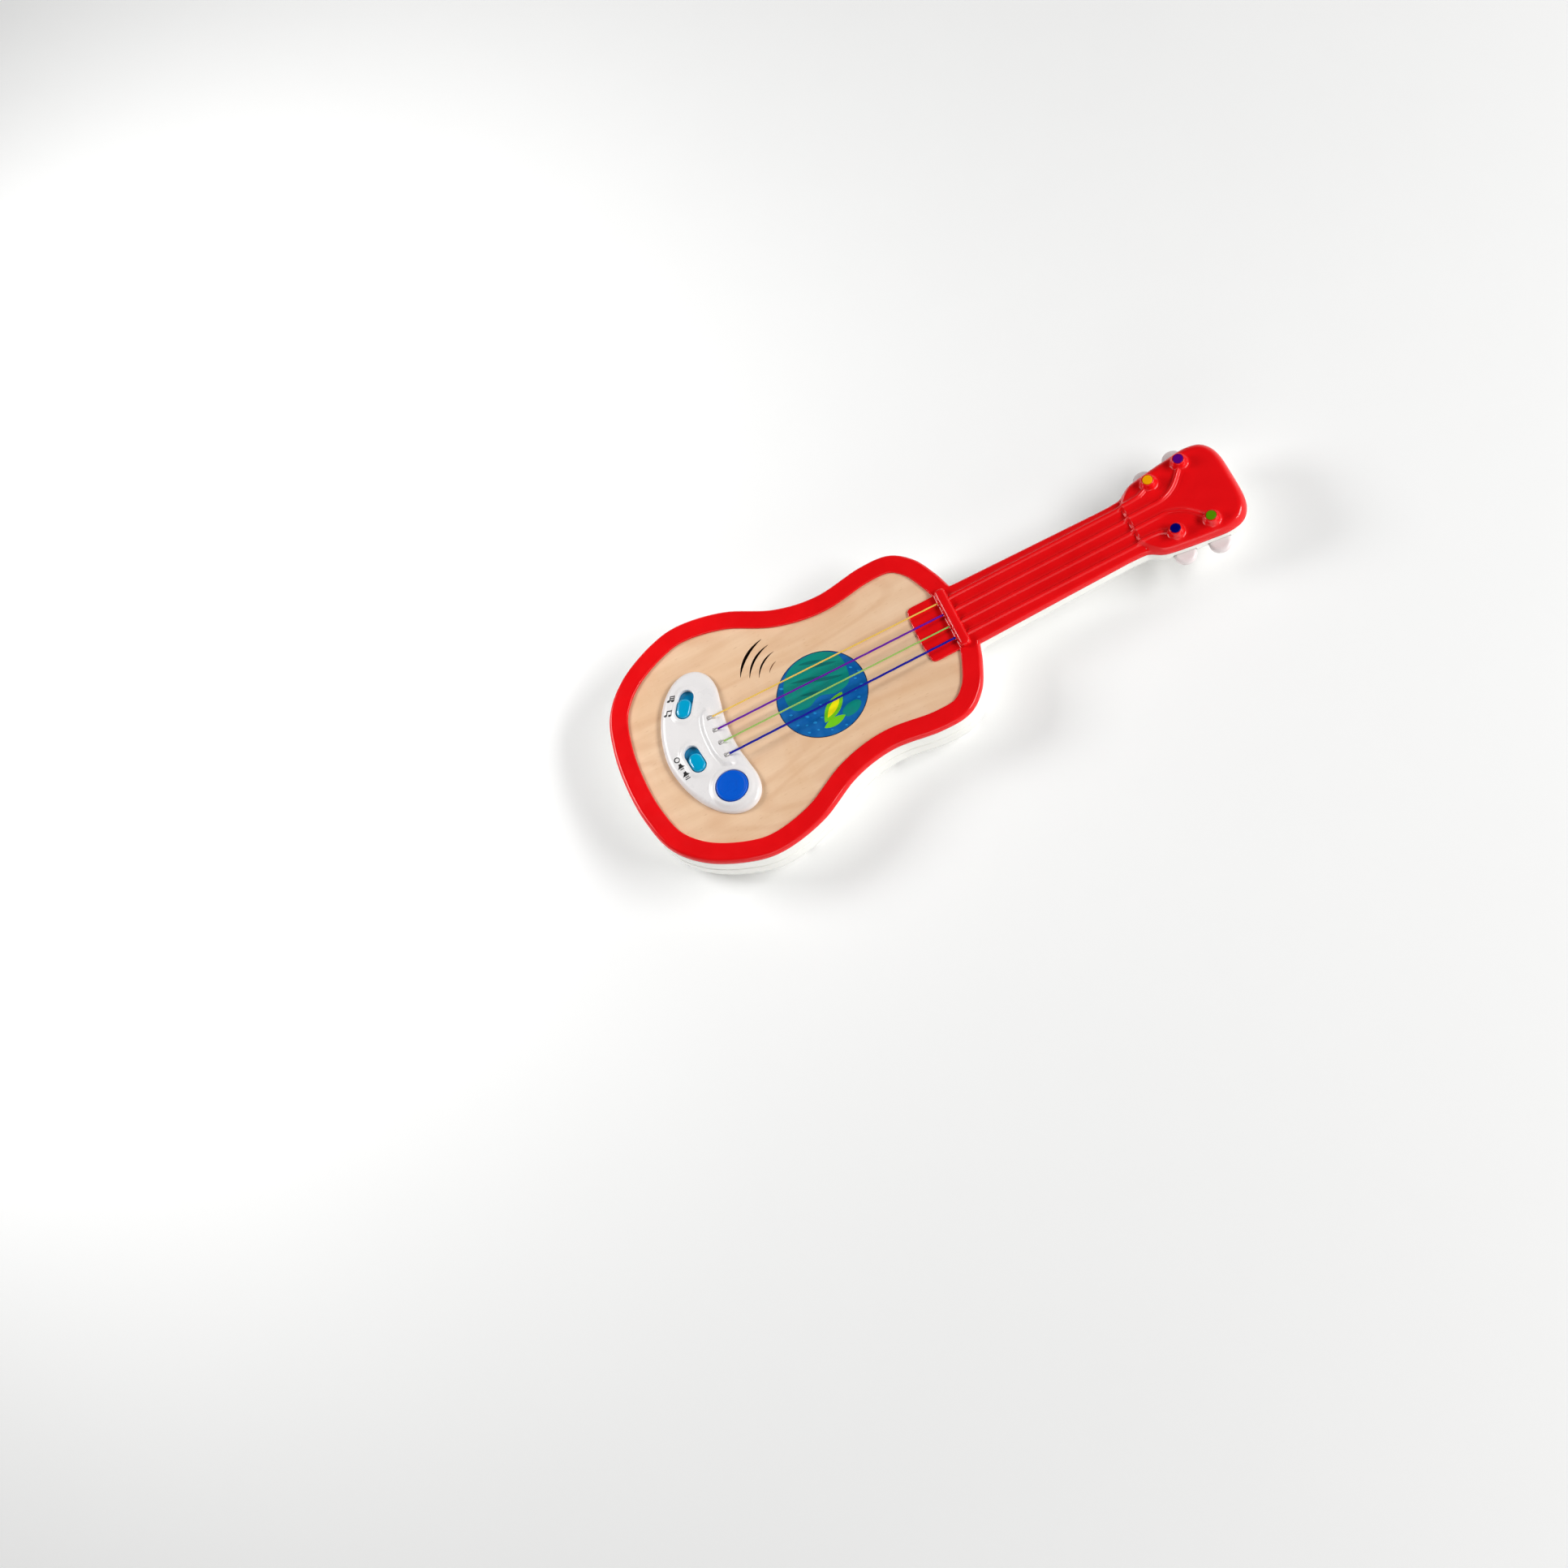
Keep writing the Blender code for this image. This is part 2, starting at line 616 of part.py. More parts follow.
def control_panel(look):
    """White kidney-shaped cover with the bridge moulded on it."""
    loop = both_sides(smooth(PANEL_KNOTS, (-20, -174.2), (-14, -132.4)))
    inner = inset(loop, 2.6)
    bm = bmesh.new()
    stack(bm, [level(inner, PANEL_CEILING), level(inner, PANEL_LOW), level(loop, PANEL_LOW),
               *panel_rings(loop, PANEL_TOP, PANEL_ROUND)])
    panel = piece("control_panel", bm, look)

    def raised(bm):
        stack(bm, [level(circle(BUTTON, radius, 24), z)
                   for radius, z in ((13.2, 34.4), (13.2, 35.6), (12.4, COLLAR_TOP - 0.2),
                                     (11.6, COLLAR_TOP))])
        for centre, turn in SLOTS.values():
            stack(bm, [level(capsule(centre, SLOT_HALF + grow, SLOT_R + grow, turn), z)
                       for grow, z in ((COLLAR_WIDTH, 34.4), (COLLAR_WIDTH, 35.6),
                                       (COLLAR_WIDTH - 0.8, COLLAR_TOP - 0.2),
                                       (COLLAR_WIDTH - 1.6, COLLAR_TOP))])

    def bridge(bm):
        side = smooth(RIDGE_KNOTS, (-10, -148.3), (21, -140)) + [(20.6, -139.4), (0, -138.6)]
        outline = both_sides(side)
        stack(bm, [level(outline, 34.4), level(outline, 36.6), level(inset(outline, 0.5), 37.3),
                   level(inset(outline, 1.4), 37.7)])

    def holes(bm):
        prism(bm, circle(BUTTON, BUTTON_R + 0.4, 24), 32, 38)
        for centre, turn in SLOTS.values():
            prism(bm, capsule(centre, SLOT_HALF, SLOT_R, turn), 32, 38)
        for _, x in STRINGS.values():
            block(bm, (x - 1.6, STRING_END_Y - 3.5, 35.6), (x + 1.6, -138, 39))

    def posts(bm):
        for x, y in POSTS:
            turned(bm, [(0, PART_LOW), (2.8, PART_LOW), (2.8, 34.2), (0, 34.2)], (x, y, 0), 10)
        for x, y in PANEL_SCREWS:
            turned(bm, [(0, PANEL_LOW), (2.6, PANEL_LOW), (2.6, 34.2), (0, 34.2)], (x, y, 0), 10)

    def pilots(bm):
        for x, y in POSTS:
            turned(bm, [(0, 21), (1.5, 21), (1.5, 30), (0, 30)], (x, y, 0), 8)
        for x, y in PANEL_SCREWS:
            turned(bm, [(0, 31), (1.5, 31), (1.5, 34.3), (0, 34.3)], (x, y, 0), 8)

    for name, operation, build in (("raised", "UNION", raised), ("bridge", "UNION", bridge),
                                   ("holes", "DIFFERENCE", holes), ("posts", "UNION", posts),
                                   ("pilots", "DIFFERENCE", pilots)):
        combine(panel, name, operation, build)


def slider(name, look):
    """Thumb knob on a skirt that keeps the slot covered, with a stem to the switch."""
    centre, turn = SLOTS[name]
    angle = math.radians(turn)
    along = Vector((math.cos(angle), math.sin(angle)))
    spot = Vector(centre) + along * SLIDER_TRAVEL / 2
    skirt_low, skirt_top = 31.9, PANEL_CEILING - GAP
    bm = bmesh.new()
    prism(bm, capsule(spot, 13.0, 6.2, turn), skirt_low, skirt_top)
    made = piece(f"{name}_slider", bm, look, (*spot, skirt_low))

    def knob(bm):
        stack(bm, [level(capsule(spot, SLIDER_HALF - less, SLIDER_R - less, turn), z)
                   for less, z in ((0, skirt_top - 0.5), (0, 36.2), (0.3, 36.9), (1, 37.4),
                                   (2, 37.6))])

    def stem(bm):
        prism(bm, oblong(spot, 2.0, 1.3, turn), STEM_LOW, skirt_low + 0.5)

    combine(made, "knob", "UNION", knob)
    combine(made, "stem", "UNION", stem)


def oblong(centre, half_long, half_wide, turn):
    """A turned rectangle."""
    turned_by = Matrix.Rotation(math.radians(turn), 2)
    corners = rectangle((-half_long, -half_wide), (half_long, half_wide))
    return [tuple(turned_by @ Vector(corner) + Vector(centre)) for corner in corners]


def song_button(look, rubber):
    bm = bmesh.new()
    turned(bm, [(0, 26.3), (2.2, 26.3), (2.2, 32.1), (11.8, 32.1), (11.8, PANEL_CEILING - GAP),
                (BUTTON_R, PANEL_CEILING - GAP), (BUTTON_R, 36.0), (9.5, 36.6), (6, 36.9),
                (0, 37.0)], (*BUTTON, 0), 28)
    piece("song_button", bm, look, (*BUTTON, 26.3))
    bm = bmesh.new()
    turned(bm, [(0, 25.2), (1.8, 25.2), (2.2, 24.2), (3.9, 22.6), (3.9, PART_LOW), (4.7, PART_LOW),
                (4.7, 22.8), (3.0, 24.4), (2.6, 26.0), (0, 26.0)], (*BUTTON, 0), 16)
    piece("button_dome", bm, rubber)


# ---------------------------------------------------------------- electronics
def electronics(looks):
    bm = bmesh.new()
    prism(bm, rectangle((-44, -171), (46, -137)), PCB_LOW, PCB_TOP)
    board = piece("main_board", bm, looks["pcb"])
    combine(board, "holes", "DIFFERENCE",
            lambda bm: [prism(bm, circle(post, 1.5, 8), 19, 23) for post in POSTS])
    for name, (centre, turn) in SLOTS.items():
        bm = bmesh.new()
        prism(bm, oblong(centre, 7, 3.2, turn), PART_LOW, SWITCH_TOP)
        switch = piece(f"{name}_switch", bm, looks["metal"])
        combine(switch, "slot", "DIFFERENCE",
                lambda bm: prism(bm, oblong(centre, 5.6, 1.7, turn), 24.4, 28))
        bpy.context.view_layer.update()
    bm = bmesh.new()
    turned(bm, [(0, PART_LOW), (5.5, PART_LOW), (4.6, 23.2), (2.6, 23.9), (0, 24.1)],
           (25, -164, 0), 14)
    piece("sound_chip", bm, looks["black"])


def speaker(looks):
    x, y = SPEAKER
    parts = {
        "speaker_frame": ([(9, 18.9), (14, 19.4), (17.2, 27), (SPEAKER_R, 27), (SPEAKER_R, 27.9),
                           (16.6, 27.9), (13.4, 20.3), (9, 19.7)], True, "metal"),
        "speaker_cone": ([(0, 20.6), (5, 20.2), (12.2, 21.2), (15.8, 26.6), (15.2, 26.6),
                          (11.8, 21.9), (5.4, 20.8), (4, 22.2), (0, 22.8)], False, "paper"),
        "speaker_magnet": ([(0, 10.4), (10.4, 10.4), (11, 11), (11, 18), (10.4, 18.6), (0, 18.6)],
                           False, "metal")}
    for name, (profile, hollow, finish) in parts.items():
        bm = bmesh.new()
        turned(bm, profile, (x, y, 0), 20, hollow)
        piece(name, bm, looks[finish])


def batteries(looks):
    half = CELL_LENGTH / 2
    for number, x in enumerate(CELL_X, 1):
        tip = 1 if number % 2 else -1
        along_y = Matrix.Rotation(math.radians(-90 * tip), 3, "X")
        bm = bmesh.new()
        turned(bm, [(0, -half), (CELL_R - 0.4, -half), (CELL_R, -half + 0.4),
                    (CELL_R, half - 1.6), (CELL_R - 0.4, half - 1.2), (1.9, half - 1.2), (1.9, half),
                    (0, half)], (x, CELL_MID_Y, CELL_Z), 16, place=along_y)
        piece(f"battery_cell_{number}", bm, looks["cell"])
    for number, (side, low, high) in enumerate(
            ((-1, -16.6, 5.4), (-1, 6.4, 16.6), (1, -16.6, -6.4), (1, -5.4, 16.6)), 1):
        contact(number, side, low, high, looks["metal"])


def contact(number, side, low, high, look):
    """Spring plate at one end of the bay; side is -1 towards the bottom."""
    wall_y = BAY_Y[0] + 0.6 if side < 0 else BAY_Y[1] - 0.6
    bm = bmesh.new()
    block(bm, (low, min(wall_y, wall_y - side * 0.6), 5.2),
          (high, max(wall_y, wall_y - side * 0.6), 13.2))
    plate = piece(f"battery_contact_{number}", bm, look)
    face_y = wall_y - side * 0.4
    reach = abs(CELL_MID_Y + side * CELL_LENGTH / 2 - face_y) - GAP
    away = Matrix.Rotation(math.radians(90 * side), 3, "X")

    def bumps(bm):
        for x in CELL_X:
            if low < x < high:
                turned(bm, [(0, 0), (3.3, 0), (2.0, reach), (0, reach)], (x, face_y, CELL_Z), 12,
                       place=away)

    combine(plate, "bumps", "UNION", bumps)


def battery_door(look, metal):
    """Cover on the back: two tabs hook under the edge and a screw holds the other end."""
    hinge = (0, DOOR_Y[0], 0)
    bm = bmesh.new()
    prism(bm, rectangle((-DOOR_HALF_X, DOOR_Y[0]), (DOOR_HALF_X, DOOR_Y[1])), 0, DOOR_THICK)
    door = piece("battery_door", bm, look, hinge)

    def more(bm):
        for side in (1, -1):
            block(bm, (side * 12 - 4, DOOR_Y[0] - 1.5, 1.0),
                  (side * 12 + 4, DOOR_Y[0] + 1, DOOR_THICK + 0.2))
        turned(bm, [(0, 1), (4.4, 1), (4.4, 3.7), (0, 3.7)], (*DOOR_SCREW, 0), 16)

    def cuts(bm):
        turned(bm, [(0, -1), (3.5, -1), (3.5, 2.3), (1.7, 2.3), (1.7, 5), (0, 5)],
               (*DOOR_SCREW, 0), 16)
        for row in range(5):
            y = DOOR_Y[0] + 8 + 2.4 * row
            block(bm, (-7, y, -1), (7, y + 1.1, 0.5))

    combine(door, "tabs", "UNION", more)
    combine(door, "cuts", "DIFFERENCE", cuts)
    screw("door_screw", DOOR_SCREW, 3.0, 0.4, 1.3, 9.5, metal, hinge, 1.6)


def screw(name, spot, head_r, head_low, shank_r, top, look, origin=(0, 0, 0), head=1.9):
    """A round-headed screw whose head is below and whose tip is on top."""
    seat = head_low + head
    bm = bmesh.new()
    turned(bm, [(0, head_low), (head_r - 0.6, head_low), (head_r, head_low + 0.7), (head_r, seat),
                (shank_r, seat), (shank_r, top - 1), (0, top)], (*spot, 0), 8)
    piece(name, bm, look, origin)


def wires(looks):
    """Leads from the speaker and the battery box to the board."""
    routes = {
        "speaker_wire_red": [(-24, -122, 24), (-24, -127, 24), (-25, -132, 23.6),
                             (-25, -138, 22.8), (-25, -141, 22.6)],
        "speaker_wire_black": [(-28, -122.8, 24), (-28.5, -128, 24), (-29, -132, 23.6),
                               (-29, -138, 22.8), (-29, -141, 22.6)],
        "battery_wire_red": [(-6, -72.4, 12), (-6, -82, 11), (-5, -100, 12), (-4, -120, 17),
                             (-3, -134, 22), (-3, -138, 22.8), (-3, -141, 22.6)],
        "battery_wire_black": [(-10, -72.4, 12), (-10, -82, 11), (-9, -100, 12), (-8, -120, 17),
                               (-7, -134, 22), (-7, -138, 22.8), (-7, -141, 22.6)]}
    for name, knots in routes.items():
        before = tuple(2 * a - b for a, b in zip(knots[0], knots[1]))
        after = tuple(2 * a - b for a, b in zip(knots[-1], knots[-2]))
        bm = bmesh.new()
        rod(bm, smooth(knots, before, after), 0.65, 6)
        piece(name, bm, looks["red_wire" if name.endswith("red") else "black"])


# ---------------------------------------------------------------- assembly
def main():
    for old in list(bpy.data.objects):
        bpy.data.objects.remove(old, do_unlink=True)
    looks = {
        "red": material("red_shell", (222, 18, 22), 0.22),
        "white": material("white_shell", (243, 242, 238), 0.25),
        "wood": material("light_wood", (235, 197, 162), 0.5),
        "slider": material("cyan_plastic", (0, 160, 200), 0.2),
        "button": material("blue_plastic", (0, 88, 203), 0.3),
        "knob": material("knob_white", (226, 213, 212), 0.3),
        "yellow": material("yellow", (235, 165, 30), 0.35),
        "purple": material("purple", (89, 1, 124), 0.35),
        "green": material("green", (90, 150, 30), 0.35),
        "blue": material("dark_blue", (5, 5, 110), 0.35),
        "metal": material("bright_steel", (178, 178, 182), 0.3, 1.0),
        "pcb": material("board_green", (20, 84, 48), 0.45),
        "black": material("black_part", (22, 22, 24), 0.5),
        "paper": material("speaker_paper", (40, 38, 36), 0.85),
        "cell": material("cell_wrap", (150, 152, 156), 0.35, 0.6),
        "rubber": material("clear_rubber", (200, 200, 196), 0.6),
        "red_wire": material("red_wire", (180, 20, 20), 0.45)}
    front_shell(looks["red"])
    back_shell(looks["white"])
    battery_box(looks["white"])
    soundboard(looks["wood"])
    string_bar(looks["red"])
    strings(looks, looks["metal"])
    peg_dots(looks)
    tuning_knobs(looks["knob"])
    control_panel(looks["white"])
    for name in SLOTS:
        slider(name, looks["slider"])
    song_button(looks["button"], looks["rubber"])
    electronics(looks)
    speaker(looks)
    batteries(looks)
    battery_door(looks["white"], looks["metal"])
    wires(looks)
    for number, spot in enumerate(CASE_SCREWS, 1):
        screw(f"case_screw_{number}", spot, 2.7, SEAT_LOW - GAP - 1.9, 1.4, 30, looks["metal"])
    for number, spot in enumerate(POSTS, 1):
        screw(f"board_screw_{number}", spot, 2.5, PCB_LOW - GAP - 1.9, 1.2, 29, looks["metal"])
    for number, spot in enumerate(PANEL_SCREWS, 1):
        screw(f"panel_screw_{number}", spot, 2.5, BOARD_LOW - GAP - 1.9, 1.2, 33.8, looks["metal"])


main()
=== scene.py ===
"""Looks of a toy ukulele: fine surfaces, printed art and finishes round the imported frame.

The instrument lies on its back: +Z comes out of the strings and +Y runs to the head.
Numbers are millimetres until a mesh is made. Most shells are built the same way: a plan is
cut into triangles along guide lines, and a height for each point makes the surface.
"""
from math import ceil, cos, dist, pi, radians, sin, sqrt, tau

import bmesh
import bpy
import numpy as np
from mathutils import Matrix, Vector
from mathutils.geometry import delaunay_2d_cdt


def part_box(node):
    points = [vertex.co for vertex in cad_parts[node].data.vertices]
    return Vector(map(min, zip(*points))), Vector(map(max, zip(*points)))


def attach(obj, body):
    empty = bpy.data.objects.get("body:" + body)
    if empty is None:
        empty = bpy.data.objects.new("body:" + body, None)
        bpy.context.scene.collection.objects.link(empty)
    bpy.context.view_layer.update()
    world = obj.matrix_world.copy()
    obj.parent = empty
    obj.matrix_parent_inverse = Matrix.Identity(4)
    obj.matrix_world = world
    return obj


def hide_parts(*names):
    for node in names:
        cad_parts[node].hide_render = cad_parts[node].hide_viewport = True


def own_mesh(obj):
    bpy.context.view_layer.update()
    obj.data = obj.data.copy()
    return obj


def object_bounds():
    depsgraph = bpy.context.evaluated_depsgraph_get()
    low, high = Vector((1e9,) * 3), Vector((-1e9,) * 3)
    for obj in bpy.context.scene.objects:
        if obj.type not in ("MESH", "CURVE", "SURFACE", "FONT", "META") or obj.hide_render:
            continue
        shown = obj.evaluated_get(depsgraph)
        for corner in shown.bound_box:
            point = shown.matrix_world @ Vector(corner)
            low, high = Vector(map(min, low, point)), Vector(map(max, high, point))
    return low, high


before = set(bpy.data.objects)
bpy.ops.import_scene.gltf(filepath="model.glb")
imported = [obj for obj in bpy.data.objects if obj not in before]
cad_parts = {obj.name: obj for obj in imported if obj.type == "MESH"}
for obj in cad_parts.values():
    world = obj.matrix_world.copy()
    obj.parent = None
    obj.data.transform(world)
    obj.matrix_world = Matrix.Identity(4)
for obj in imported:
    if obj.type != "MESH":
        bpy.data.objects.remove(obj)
cad_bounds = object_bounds()

SCENE = bpy.context.scene
MM = 0.001
GAP = 0.3  # clearance between pieces that touch


def box(node):
    """A node's lowest and highest corners in millimetres."""
    low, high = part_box(node)
    return low / MM, high / MM


def middle(node):
    low, high = box(node)
    return (low + high) / 2


# Half outlines, from the bottom centre up the right-hand side
BODY_KNOTS = [
    (0, -205.99), (26, -204), (50, -197), (68.5, -180.5), (81, -156), (84.6, -134), (78.3, -105.5),
    (63.5, -77), (58.1, -50), (61.9, -20), (60.4, 0), (50, 13), (35, 20.7), (21.9, 25)]
HEAD_KNOTS = [(19.8, 126), (20.2, 136), (21.3, 140), (25.8, 147.6), (28.3, 159.8), (30.4, 175.3),
              (31.6, 188.8), (28.4, 199.2), (18.3, 205), (0, 205.98)]
PANEL_KNOTS = [
    (0, -176.6), (15, -174.6), (29, -169.7), (40.6, -162.4), (48.3, -153.6), (51.0, -144.6),
    (48.9, -136.6), (42.6, -131.3), (33.5, -129.7), (23, -131.2), (12, -133.1), (0, -133.8)]
RIDGE_KNOTS = [(0, -149), (10, -148.3), (18.5, -145.6), (21.3, -142), (21.6, -141),
               (20.9, -139.6), (19, -138.9), (8, -138.6), (0, -138.6)]
TONGUE_KNOTS = [(20.2, 12), (20.2, 4), (20.2, -2), (19.2, -4.7), (16.4, -5.8), (9, -6.5), (0, -6.8)]
NUT_Y = (136.9, 139.3)  # the head's face steps up between these
BAR_STRING_X = (-13.0, -4.5, 4.5, 13.0)
STRING_Z = 34.2  # height of the strings where they leave the bar
DOWN_Y = Matrix.Rotation(radians(90), 3, "X")  # lays a turned piece's axis along -Y
BAR_Y = (box("string_bar")[0].y, box("string_bar")[1].y)

# Heights and widths, some of them read from the frame
BOARD_TOP = box("soundboard")[1].z
BOARD_LOW = box("soundboard")[0].z
RIM_FACE = box("string_bar")[0].z - GAP
HEAD_RISE = 2.5
RIM_UNDERSIDE = BOARD_TOP + GAP
BACK_TOP = 28.85
FRONT_LOW = BACK_TOP + GAP
PEG_TOP = box("peg_dot_blue")[1].z - 0.2
PANEL_TOP = 35.5
PANEL_LOW = RIM_UNDERSIDE
PANEL_CEILING = 33.7
RIM_WIDTH = 12.4
BOARD_INSET = 10.6

STRINGS = ("yellow", "purple", "green", "blue")
PEGS = {name: middle(f"peg_dot_{name}").xy for name in STRINGS}
BUTTON = middle("song_button").xy
BUTTON_R = 10.0
SLOTS = {"mode": ((-30.3, -151.5), -33.0), "volume": ((6.2, -159.9), 7.0)}
SLOT_HALF = 9.7
SLOT_R = 4.9
SLIDER_TRAVEL = 5.6
ARC_CENTRE = (-19.2, -86.4)
ARC_MIDDLE = 218.0
SOUND_ARCS = [(30.3, 26.7, 2.1), (24.4, 29.3, 1.6), (18.4, 30.4, 1.25)]
DISC_CENTRE = (4.0, -73.6)
DISC_R = 28.7
DROPS = 90  # places for drops in the print, before the clear ones are kept
GOLDEN_ANGLE = pi * (3 - sqrt(5))


# ---- lines in the plan
def mirrored(point):
    return (-point[0], point[1])


def smooth(knots, before, after, steps=10):
    """A curve through the knots, steered by the points before and after."""
    run = [before, *knots, after]
    points = []
    for a, b, c, d in zip(run, run[1:], run[2:], run[3:]):
        for step in range(steps):
            t = step / steps
            points.append(tuple(
                0.5 * (2 * q + (r - p) * t + (2 * p - 5 * q + 4 * r - s) * t * t
                       + (3 * q - p - 3 * r + s) * t ** 3)
                for p, q, r, s in zip(a, b, c, d)))
    return points + [tuple(knots[-1])]


def closed_curve(knots, steps=6):
    """A smooth loop through the knots."""
    return smooth([*knots, knots[0]], knots[-1], knots[1], steps)[:-1]


def even(points, spacing):
    """The same line, with no stretch longer than the spacing."""
    cut = []
    for a, b in zip(points, points[1:]):
        parts = max(1, ceil(dist(a, b) / spacing))
        cut += [tuple(p + (q - p) * i / parts for p, q in zip(a, b)) for i in range(parts)]
    return cut + [points[-1]]


def even_loop(loop, spacing):
    return even([*loop, loop[0]], spacing)[:-1]


def across(reach, y, spacing):
    """A straight guide line across the middle."""
    return even([(-reach, y), (reach, y)], spacing)


def both_sides(side):
    """A closed loop from its right-hand side."""
    return side + [(-x, y) for x, y in reversed(side[1:-1])]


def inset(loop, depth):
    """The loop moved inwards, by one depth or by one for each point."""
    spots = np.array(loop, float)
    back = spots - np.roll(spots, 1, axis=0)
    back /= np.linalg.norm(back, axis=1)[:, None]
    ahead = np.roll(back, -1, axis=0)
    mean = back + ahead
    mean /= np.linalg.norm(mean, axis=1)[:, None]
    inward = np.stack([-mean[:, 1], mean[:, 0]], axis=1)
    reach = np.asarray(depth) / np.maximum(0.5, (mean * back).sum(axis=1))
    return [tuple(point) for point in spots + inward * reach[:, None]]


def placed(loop, centre, turn=0.0, size=1.0):
    """A loop drawn round the origin, moved to its place."""
    turned_by = Matrix.Rotation(radians(turn), 2)
    return [tuple(turned_by @ (Vector(point) * size) + Vector(centre)) for point in loop]


def capsule(centre, half, radius, turn=0.0, steps=20):
    """A slot outline with round ends; half is from its middle to its tip."""
    points = []
    for end, start in ((1, -90), (-1, 90)):
        for step in range(steps + 1):
            angle = radians(start + 180 * step / steps)
            points.append(polar((end * (half - radius), 0), radius, angle))
    return placed(points, centre, turn)


def polar(centre, reach, angle):
    return centre[0] + reach * cos(angle), centre[1] + reach * sin(angle)


def circle(centre, radius, sides):
    return [polar(centre, radius, tau * i / sides) for i in range(sides)]


def rectangle(low, high):
    return [(low[0], low[1]), (high[0], low[1]), (high[0], high[1]), (low[0], high[1])]


def arc_slot(radius, half_angle, width, steps=28):
    """A sound slot: an arc that thins to its two ends."""
    outer, inner = [], []
    for step in range(steps + 1):
        share = step / steps
        angle = radians(ARC_MIDDLE + half_angle * (2 * share - 1))
        half = 0.5 * width * (0.12 + 0.88 * sin(pi * share))
        outer.append(polar(ARC_CENTRE, radius + half, angle))
        inner.append(polar(ARC_CENTRE, radius - half, angle))
    return outer + inner[::-1]


# ---- fields over the plan
def mix(a, b, share):
    return a + (b - a) * share


def step_up(value, low, high):
    """0 below low, 1 above high and a soft curve between."""
    share = np.clip((value - low) / (high - low), 0, 1)
    return share * share * (3 - 2 * share)


def distance_to(points, line, closed=True):
    """How far each point is from a line."""
    starts = np.array(line, float)
    ends = np.roll(starts, -1, axis=0)
    if not closed:
        starts, ends = starts[:-1], ends[:-1]
    along = ends - starts
    square = np.maximum((along ** 2).sum(axis=1), 1e-12)
    found = np.empty(len(points))
    for first in range(0, len(points), 4000):
        away = points[first:first + 4000, None, :] - starts[None]
        share = np.clip((away * along).sum(axis=2) / square, 0, 1)
        found[first:first + 4000] = np.sqrt(
            ((away - share[..., None] * along) ** 2).sum(axis=2).min(axis=1))
    return found


def inside(points, loop):
    """Whether each point is within a closed loop."""
    starts = np.array(loop, float)
    ends = np.roll(starts, -1, axis=0)
    within = np.zeros(len(points), bool)
    for (ax, ay), (bx, by) in zip(starts, ends):
        if ay == by:
            continue
        crosses = (ay > points[:, 1]) != (by > points[:, 1])
        x = ax + (points[:, 1] - ay) * (bx - ax) / (by - ay)
        within ^= crosses & (points[:, 0] < x)
    return within


def depth_in(points, loop):
    """Distance from a closed loop, positive inside it."""
    return distance_to(points, loop) * np.where(inside(points, loop), 1, -1)


def round_over(distance, radius, drop=None):
    """How far a rounded edge lies below its face."""
    share = 1 - np.clip(distance / radius, 0, 1)
    return (radius if drop is None else drop) * (1 - np.sqrt(1 - share ** 2))


def round_steps(radius, count=9, guard=0.4):
    """Insets that follow a rounded edge, and one just past it."""
    steps = [radius * (1 - cos(radians(90 * i / count))) for i in range(1, count + 1)]
    return steps + [radius + guard]


def blended(*bumps):
    """Bumps above a face, merged softly where they meet."""
    return sum(np.maximum(bump, 0) ** 3 for bump in bumps) ** (1 / 3)


# ---- meshes
def plan(outline, holes=(), guides=(), lines=()):
    """Triangles between an outline and its holes, cut along guide loops and open lines."""
    points, edges = [], []
    loops = [outline, *holes, *guides]
    for number, run in enumerate([*loops, *lines]):
        first, count = len(points), len(run)
        points += [Vector(point) for point in run]
        edges += [(first + i, first + (i + 1) % count)
                  for i in range(count - (number >= len(loops)))]
    found = delaunay_2d_cdt(points, edges, [], 0, 1e-4)
    spots, triangles = np.array(found[0]), np.array(found[2])
    centres = spots[triangles].mean(axis=1)
    kept = inside(centres, outline)
    for hole in holes:
        kept &= ~inside(centres, hole)
    return spots, triangles[kept]


def shell(spots, triangles, top, under, wall_look=0, grooves=(), bm=None):
    """A closed solid over a plan; grooves are (height, depth) pairs from the top down."""
    bm = bm or bmesh.new()
    used, triangles = np.unique(triangles, return_inverse=True)
    triangles = triangles.reshape(-1, 3)
    spots = spots[used]
    upper = [bm.verts.new((x, y, z)) for (x, y), z in zip(spots, top(spots))]
    lower = [bm.verts.new((x, y, z)) for (x, y), z in zip(spots, under(spots))]
    border = {}
    for a, b, c in triangles:
        bm.faces.new((upper[a], upper[b], upper[c]))
        bm.faces.new((lower[c], lower[b], lower[a]))
        for edge in ((a, b), (b, c), (c, a)):
            if not border.pop(edge[::-1], False):
                border[edge] = True
    inward = {}
    for a, b in border:
        ahead = Vector(spots[b] - spots[a]).normalized()
        for end in (a, b):
            inward[end] = inward.get(end, Vector((0, 0))) + Vector((-ahead.y, ahead.x))
    columns = {}
    for end, way in inward.items():
        steps = [lower[end] if height < lower[end].co.z + 0.1 else
                 bm.verts.new((*(Vector(spots[end]) + way.normalized() * depth), height))
                 for height, depth in grooves]
        columns[end] = [upper[end], *steps, lower[end]]
    for a, b in border:
        for high, low, next_high, next_low in zip(columns[a], columns[a][1:],
                                                  columns[b], columns[b][1:]):
            corners = list(dict.fromkeys([next_high, high, low, next_low]))
            if len(corners) > 2:
                bm.faces.new(corners).material_index = wall_look
    return bm


